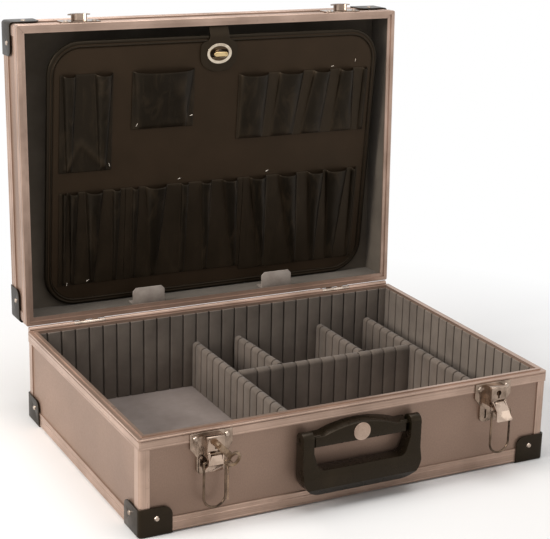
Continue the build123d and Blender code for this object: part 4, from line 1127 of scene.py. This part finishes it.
@dataclass
class PocketStrip:
    """Pocket leathercloth sewn down in strips, with swelling sleeves between them."""

    name: str
    node: str
    p: Span
    q: Span
    sleeves: Sequence[Sequence[float]]
    seed: float
    # Least painted shade on the strip, flat webs included.
    shade: float = 0.5
    ridges: Sequence[tuple[Span, Span]] = ()
    face: float = 2.0
    web: float = 1.2
    sheet: float = 0.9
    low_swell: float = 3.0
    foot: float = 4.0
    ridge_w: float = 4.0
    ridge_n: float = 1.3
    ripple: Span = (9.0, 26.0)
    sag: float = 1.6
    parts: Sequence[float] = (0.17, 0.33, 0.5, 0.67, 0.83)
    rim: Sequence[float] = (0.3, 0.6, 0.8, 0.93, 0.985, 1.0)

    def columns(self, share: float) -> list[Triple]:
        """Where the columns stand at one height: p, swelling share and sleeve height."""
        found: list[Triple] = [(self.p[0], 0.0, 0.0), (self.p[0] + 0.6, 0.0, 0.0)]
        across = [*(-t for t in reversed(self.rim)), 0.0, *self.rim]
        for *edges, swell in self.sleeves:
            left, right = (edges[n + 2] + (edges[n] - edges[n + 2]) * share for n in (0, 1))
            middle, half = (left + right) / 2, (right - left) / 2
            low = min(self.low_swell, swell)
            full = low + (swell - low) * share
            gap_from = found[-1][0]
            for part in self.parts:
                found.append((gap_from + (left - gap_from) * part, 0.0, 0.0))
            for t in across:
                found.append((middle + half * t, (1.0 - abs(t) ** 2.4) ** 0.5, full))
        last = found[-1][0]
        for part in (*self.parts, 1.0):
            found.append((last + (self.p[1] - last) * part, 0.0, 0.0))
        return found

    def ridge(self, p: float, q: float) -> float:
        """Extra height of the pressed ridges near a point."""
        here, most = Vector((p, q)), 0.0
        for ends in self.ridges:
            start, end = map(Vector, ends)
            along = end - start
            t = max(0.0, min(1.0, (here - start).dot(along) / along.length_squared))
            near = (start + along * t - here).length
            most = max(most, 1.0 - near / self.ridge_w)
        return self.ridge_n * most

    def painted_shade(self, column: Triple, q: float) -> float:
        """Painted shade on the cloth: deepest where it swells, at least the strip's shade elsewhere,
        and less along a pressed ridge, as a painted highlight.
        """
        swell_shade = min(1.0, 1.6 * column[1]) * min(1.0, column[2] / 4.0)
        # Painted highlight: the painted shade drops along the pressed ridges.
        return max(0.0, max(self.shade, swell_shade) - 0.6 * self.ridge(column[0], q))

    def point(self, column: Triple, q: float, share: float) -> Vector:
        """A point of the sheet, wrinkled where it swells."""
        p, rise, full = column
        foot = min(1.0, max(0.0, (q - self.q[0]) / self.foot)) ** 0.6
        n = self.face + self.web + full * rise * foot
        if rise > 0.0:
            where = Vector((p / self.ripple[0] + self.seed, q / self.ripple[1], self.seed * 3.1))
            wave = noise.noise(where) * 1.3 + noise.noise(where * 2.7) * 0.5
            n += wave * rise * foot * full / 8.5
            p += noise.noise(where * 0.8 + Vector((9.0, 2.0, 5.0))) * 1.2 * rise
            q -= self.sag * rise * share**6
            n = max(n, self.face + self.web * 0.8)
        return Vector((p, q, n + self.ridge(p, q)))

    def build(self, finishes: Finishes, place: Matrix, rests: str) -> None:
        low, high = self.q
        start, steps = low + self.foot, max(10, int((high - low) / 4.0))
        levels = [low, low + 1.2, low + 2.6, start]
        levels += [start + (high - low - self.foot) * n / steps for n in range(1, steps + 1)]
        rows, painted_shades = [], []
        for q in levels:
            share = max(0.0, (q - low - self.foot) / (high - low - self.foot))
            columns = self.columns(share)
            rows.append([self.point(column, q, share) for column in columns])
            painted_shades.append([self.painted_shade(column, q) for column in columns])
        sheet = height_sheet(f"{self.name}_sheet", rows)
        flat = [value for row in painted_shades for value in row]
        # The painted shade rides on the sheet as a point attribute for the pocket material.
        sheet.data.attributes.new("painted_shade", "FLOAT", "POINT")
        painted_shade, step = sheet.data.attributes["painted_shade"], sheet.data.attributes["step"]
        for vertex in range(len(sheet.data.vertices)):
            painted_shade.data[vertex].value = flat[step.data[vertex].value]
        middle = rows[len(rows) // 2]
        wide = sum((b - a).length for a, b in zip(middle, middle[1:])) * MM
        modify(sheet, "SOLIDIFY", thickness=self.sheet * MM, offset=-1.0)
        modify(sheet, "SUBSURF", levels=1, render_levels=1)
        smooth(sheet, 70.0)
        settle(sheet, finishes.pocket, "pallet", "pocket", self.node, place=place)


@dataclass
class TurnButton:
    """The turn button, its eyelet, and the strap that buttons over it."""

    at: Span = (-3.4, 285.7)
    patch_hw: float = 22.3
    tongue_hw: float = 11.7
    low: float = 265.0
    high: float = 300.0
    bend: float = 306.5
    end: Span = (317.9, -4.1)
    n: float = 2.8
    thick: float = 1.4
    edge_drop: float = 0.35
    foot_r: float = 18.0
    neck_r: float = 8.0
    knob_round: float = 0.5
    shares: Sequence[float] = (-1.0, -0.96, -0.85, -0.6, -0.3, 0.0, 0.3, 0.6, 0.85, 0.96, 1.0)
    slot: Span = (11.0, 4.5)
    slot_r: float = 4.4
    plate_r: float = 15.0
    plate_t: float = 1.2
    plate_n: float = 4.8
    oval: Triple = (1.0, 0.78, 1.0)
    dish: Sequence[Span] = ((3.2, 0.55), (0.5, 0.0))

    def half_width(self, q: float) -> float:
        """Half the strap's width at a height: a round-cornered patch, then the tongue."""
        foot, r = self.foot_r, self.neck_r
        if q < self.low + foot:
            reach = self.low + foot - q
            return self.patch_hw - foot + math.sqrt(max(0.0, foot * foot - reach * reach))
        if q > self.high - r:
            reach = min(r, q - self.high + r)
            return max(self.tongue_hw, self.patch_hw - r + math.sqrt(max(0.0, r * r - reach * reach)))
        return self.patch_hw

    def strap(self) -> tuple[Obj, float]:
        """The strap as a sheet, and its length along its middle."""
        levels = [self.low + self.foot_r * (1 - math.cos(math.pi / 2 * n / 9)) for n in range(10)]
        levels += [self.low + self.foot_r + 2.6 * n for n in range(1, 4)]
        neck = self.neck_r
        levels += [self.high - neck + neck * math.sin(math.pi / 2 * n / 6) for n in range(1, 7)]
        levels += [self.bend - 3.0, self.bend, self.bend + 2.0]
        levels += [self.bend + 2.0 + (self.end[0] - self.bend - 2.0) * n / 4 for n in range(1, 5)]
        rows = []
        for q in levels:
            half = self.half_width(q) if q <= self.high else self.tongue_hw
            past = max(0.0, q - self.bend)
            fall = (self.n - self.end[1]) / (self.end[0] - self.bend)
            row = []
            for share in self.shares:
                edge = self.edge_drop * (1.0 - abs(share) ** 8)
                n = self.n + self.thick - self.edge_drop + edge - past * fall
                row.append(Vector((self.at[0] + half * share, q, n)))
            rows.append(row)
        sheet = height_sheet("strap_leathercloth", rows)
        modify(sheet, "SOLIDIFY", thickness=(self.thick - 0.2) * MM, offset=-1.0)
        return sheet, sum((b[5] - a[5]).length for a, b in zip(rows, rows[1:])) * MM

    def cut_slot(self, obj: Obj) -> None:
        """Cut the long hole for the button through a piece."""
        p, q = self.at
        half_w, half_h = self.slot
        cutter = box("slot_cutter", (p - half_w, q - half_h, -6.0), (p + half_w, q + half_h, 14.0))
        bevel_edges(cutter, lambda a, b: abs(a.z - b.z) > 5.0, self.slot_r, 6)
        modify(obj, "BOOLEAN", operation="DIFFERENCE", object=cutter, solver="EXACT")
        bpy.data.objects.remove(cutter)

    def eyelet(self) -> Obj:
        """The oval metal eyelet: a dished plate with a rolled rim."""
        p, q = self.at
        middle = (p, q, self.plate_n)
        plate = cylinder("eyelet_plate", self.plate_r, self.plate_t, middle, scale=self.oval)
        carve(plate, OUT, self.dish)
        self.cut_slot(plate)
        soften(plate, 0.35, 3, 25.0)
        smooth(plate)
        return plate

    def build(self, finishes: Finishes, place: Matrix, rests: str) -> None:
        """Build the strap, the eyelet and the button."""
        strap, long = self.strap()
        self.cut_slot(strap)
        smooth(strap)
        settle(strap, finishes.strap, "strap", "strap", "strap", place=place)
        plate = self.eyelet()
        # The sunk faces of the eyelet take the darker metal: painted shade in its recess.
        sunk_shaded_faces = [f.index for f in plate.data.polygons if f.normal.z > 0.9 and f.center.z / MM < 5.1]
        settle(plate, finishes.ring, "strap", "latch", "eyelet", place=place)
        plate.data.materials.append(finishes.well_painted_shade)
        for index in sunk_shaded_faces:
            plate.data.polygons[index].material_index = 1
        swap("turn_knob", self.knob_round, finishes.brass, "knob", "latch")
        dress(finishes.rivet, "knob_plate")


@dataclass
class Staples:
    """Bright wire staples that pin the pocket strips to the board."""

    places: Sequence[Triple] = (
        (-178.6, 164.0, 70.0),
        (-130.6, 165.0, 110.0),
        (-99.4, 208.6, 60.0),
        (-34.0, 215.7, 20.0),
        (-90.0, 258.0, 12.0),
        (-178.0, 27.0, 80.0),
        (-153.0, 29.0, 30.0),
        (-100.0, 29.0, 75.0),
        (-73.0, 29.0, 65.0),
        (-45.0, 141.0, 20.0),
        (66.6, 141.0, 15.0),
        (168.6, 118.0, 20.0),
        (167.0, 95.0, 40.0),
        (144.0, 263.0, 15.0),
        (174.0, 268.6, 80.0),
    )
    wire: float = 0.6
    long: float = 3.8

    def build(self, finishes: Finishes, place: Matrix, over: Callable[[float, float], float]) -> None:
        """Model one staple, then copy it to each place."""
        half = self.long / 2
        first = box("staple", (-half, -self.wire / 2, -0.6), (half, self.wire / 2, 0.55))
        bevel_edges(first, lambda a, b: max(a.z, b.z) > 0.4, 0.34, 3)
        pieces = []
        for p, q, turn in self.places:
            pieces.append(copied(first, shift(p, q, over(p, q)) @ spin(turn)))
        bpy.data.objects.remove(first)
        staples = joined(pieces, "pallet_staples")
        smooth(staples, 50.0)
        settle(staples, finishes.staple, "pallet", "rivet", place=place)


@dataclass
class Pallet:
    """The whole tool pallet in the lid."""

    place: PalletFrame = field(default_factory=PalletFrame)
    bracket_round: float = 0.4

    def strips(self) -> list[PocketStrip]:
        """The six pocket strips: each row of numbers is a sleeve's mouth, its foot and its swell."""
        row, far = (25.0, 136.0), (-165.4, 193.4)
        return [
            PocketStrip("row_left", "pocket_row_1", (-188.0, -110.0), row, [
                (-185.0, -179.0, -183.5, -180.5, 4.0),
                (-177.5, -166.0, -174.0, -169.0, 5.5),
                (-158.0, -137.0, -151.0, -145.0, 8.0),
                (-126.0, -116.0, -123.5, -118.5, 5.0),
            ], 1.7),
            PocketStrip("row_middle", "pocket_row_2", (-109.8, 35.8), row, [
                (-103.0, -94.0, -101.0, -96.0, 5.0),
                (-87.0, -60.0, -77.0, -70.0, 8.5),
                (-43.0, -33.0, -41.0, -35.0, 5.0),
                (-18.6, -4.3, -11.0, -6.2, 6.5),
                (8.6, 28.6, 26.0, 31.5, 8.0),
            ], 4.2),
            PocketStrip("row_right", "pocket_row_3", (36.0, 189.0), (20.0, 136.0), [
                (43.0, 65.7, 62.0, 68.5, 8.5),
                (81.0, 105.7, 105.0, 112.0, 8.5),
                (120.0, 141.5, 131.0, 137.0, 8.5),
                (145.0, 174.0, 153.0, 163.0, 8.5),
                (180.0, 187.0, 181.0, 185.0, 4.5),
            ], 7.9),
            PocketStrip("tall", "pocket_tall", (-189.0, -128.0), (158.6, 270.0), [
                (-186.5, -171.0, -181.0, -174.0, 7.5),
                (-149.5, -129.0, -143.0, -134.0, 8.5),
            ], 11.3, 0.85, [((-181.0, 164.4), far), (far, (-138.0, 166.9))]),
            PocketStrip("wide", "pocket_wide", (-105.7, -31.4), (203.0, 270.0), [
                (-105.0, -32.0, -98.0, -40.0, 9.5),
            ], 14.6, 0.9, [((-50.0, 261.0), (-40.5, 210.0))]),
            PocketStrip("loops", "pocket_loops", (23.5, 191.5), (183.0, 260.0), [
                (24.5, 61.0, 26.0, 57.0, 8.5),
                (74.0, 106.0, 67.5, 97.0, 8.5),
                (119.0, 141.0, 106.5, 133.0, 8.5),
                (154.0, 171.5, 147.0, 175.5, 8.0),
                (184.5, 190.5, 183.5, 190.0, 4.0),
            ], 18.2, 0.4),
        ]

    def build(self, finishes: Finishes) -> None:
        """Build the board, the pockets, the staples and the button."""
        place = self.place.matrix()
        PalletBoard().build(finishes, place)
        strips = self.strips()
        for strip in strips:
            strip.build(finishes, place, "pallet_board_covered")

        def over(p: float, q: float) -> float:
            """Height of the cloth or board under a staple."""
            for strip in strips:
                if strip.p[0] - 1 < p < strip.p[1] + 1 and strip.q[0] - 1 < q < strip.q[1] + 1:
                    return strip.face + strip.web + 0.2
            return 2.2

        Staples().build(finishes, place, over)
        TurnButton().build(finishes, place, "pallet_board_covered")
        swap("pallet_brackets", self.bracket_round, finishes.tab, "lid", "bracket")


@dataclass
class Viewpoint:
    """The photograph's camera."""

    place: Triple = (-0.7132, -1.3891, 0.6670)
    azimuth: float = -28.31
    elevation: float = 16.82
    roll: float = 1.79
    lens: float = 100.87
    sensor: float = 36.0
    shift: Span = (-0.0695, -0.0049)

    def build(self) -> None:
        """Set the camera."""
        az, el, roll = (math.radians(v) for v in (self.azimuth, self.elevation, self.roll))
        ahead = Vector((-math.sin(az) * math.cos(el), math.cos(az) * math.cos(el), -math.sin(el)))
        right = Vector((math.cos(az), math.sin(az), 0.0))
        above = right.cross(ahead)
        across = right * math.cos(roll) + above * math.sin(roll)
        over = -right * math.sin(roll) + above * math.cos(roll)
        data = bpy.data.cameras.new("camera")
        data.lens = self.lens
        data.sensor_width = self.sensor
        data.shift_x, data.shift_y = self.shift
        camera = bpy.data.objects.new("camera", data)
        link(camera)
        turn = Matrix((across, over, -ahead)).transposed().to_4x4()
        turn.translation = Vector(self.place)
        camera.matrix_world = turn
        bpy.context.scene.camera = camera


@dataclass
class Studio:
    """Pale floor, white surround and soft lamps."""

    floor_size: float = 14.0
    world: float = 0.3
    plain: Span = (0.36, 0.72)
    paper: tuple[Colour, Colour] = ((0.88, 0.87, 0.86, 1.0), (0.9, 0.89, 0.88, 1.0))
    aim: Triple = (0.0, 0.0, 0.14)
    lamps: Sequence[tuple[str, Triple, float, float, Triple]] = (
        ("key", (-2.7, 0.0, 1.5), 1.4, 88.0, (1.0, 0.96, 0.92)),
        ("top", (0.2, -0.1, 2.6), 1.8, 32.0, (1.0, 1.0, 1.0)),
        ("fill", (2.2, -2.2, 1.2), 1.8, 6.0, (1.0, 1.0, 1.0)),
    )

    def lamp(self, name: str, place: Triple, size: float, power: float, tint: Triple) -> None:
        """A square soft lamp that looks at the case."""
        data = bpy.data.lights.new(name, "AREA")
        data.size = size
        data.energy = power
        data.color = tint
        lamp = bpy.data.objects.new(name, data)
        lamp.location = place
        ahead = Vector(self.aim) - Vector(place)
        lamp.rotation_euler = ahead.to_track_quat("-Z", "Y").to_euler()
        link(lamp)

    def seen(self, tree: bpy.types.NodeTree) -> Socket:
        """1 on rays from the camera, a mirror or glass, and 0 on those that light things."""
        path = tree.nodes.new("ShaderNodeLightPath")
        share = path.outputs["Is Camera Ray"]
        for name in ("Is Glossy Ray", "Is Transmission Ray"):
            most = tree.nodes.new("ShaderNodeMath")
            most.operation = "MAXIMUM"
            tree.links.new(share, most.inputs[0])
            tree.links.new(path.outputs[name], most.inputs[1])
            share = most.outputs[0]
        return share

    def build_world(self) -> None:
        """A white surround to look at, with a plain grey light."""
        world = bpy.data.worlds.new("studio")
        bpy.context.scene.world = world
        world.use_nodes = True
        tree = world.node_tree
        back = tree.nodes["Background"]
        mix = tree.nodes.new("ShaderNodeMix")
        tree.links.new(self.seen(tree), mix.inputs[0])
        mix.inputs[2].default_value = self.world
        mix.inputs[3].default_value = 1.0
        tree.links.new(mix.outputs[0], back.inputs["Strength"])
        back.inputs["Color"].default_value = (1.0, 1.0, 1.0, 1.0)

    def whiten(self, g: Graph) -> None:
        """Let the floor fade to plain white away from the case, as seen, and light it as before."""
        away = g.node("VectorMath", "Value", {0: g.at}, operation="LENGTH")
        share = g.sum(g.level(away, *self.plain), self.seen(g.material.node_tree), "MULTIPLY")
        white = g.node("Emission", 0, {})
        join = g.node("MixShader", 0, {0: share, 1: g.shader.outputs[0], 2: white})
        g.plug(g.nodes["Material Output"].inputs["Surface"], join)

    def build(self) -> None:
        """Make the floor, the lamps and the world."""
        bpy.ops.object.select_all(action="DESELECT")
        bpy.ops.mesh.primitive_plane_add(size=self.floor_size)
        floor = bpy.context.object
        floor.name = "floor"
        g = Graph("floor_paper")
        tone = g.mix(g.level(g.noise(3.0, 2.0), 0.3, 0.7), *self.paper)
        floor.data.materials.append(g.done(tone, 0.9, g.bump(g.noise(600.0, 2.0), 0.05, 0.0002)))
        self.whiten(g)
        for name, place, size, power, tint in self.lamps:
            self.lamp(name, place, size, power, tint)
        self.build_world()
        bpy.context.scene.view_settings.view_transform = "Standard"


def main() -> None:
    """Build the case in order and log each piece."""
    logging.basicConfig(level=logging.INFO, format="%(name)s: %(message)s")
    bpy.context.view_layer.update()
    Viewpoint().build()
    Studio().build()
    finishes = Finishes()
    for part in (
        Shell(), Hinges(), Latches(), Keys(), Handle(), RibbedLining(), Compartments(), Pallet()
    ):
        part.build(finishes)


if __name__ == "__main__":
    main()
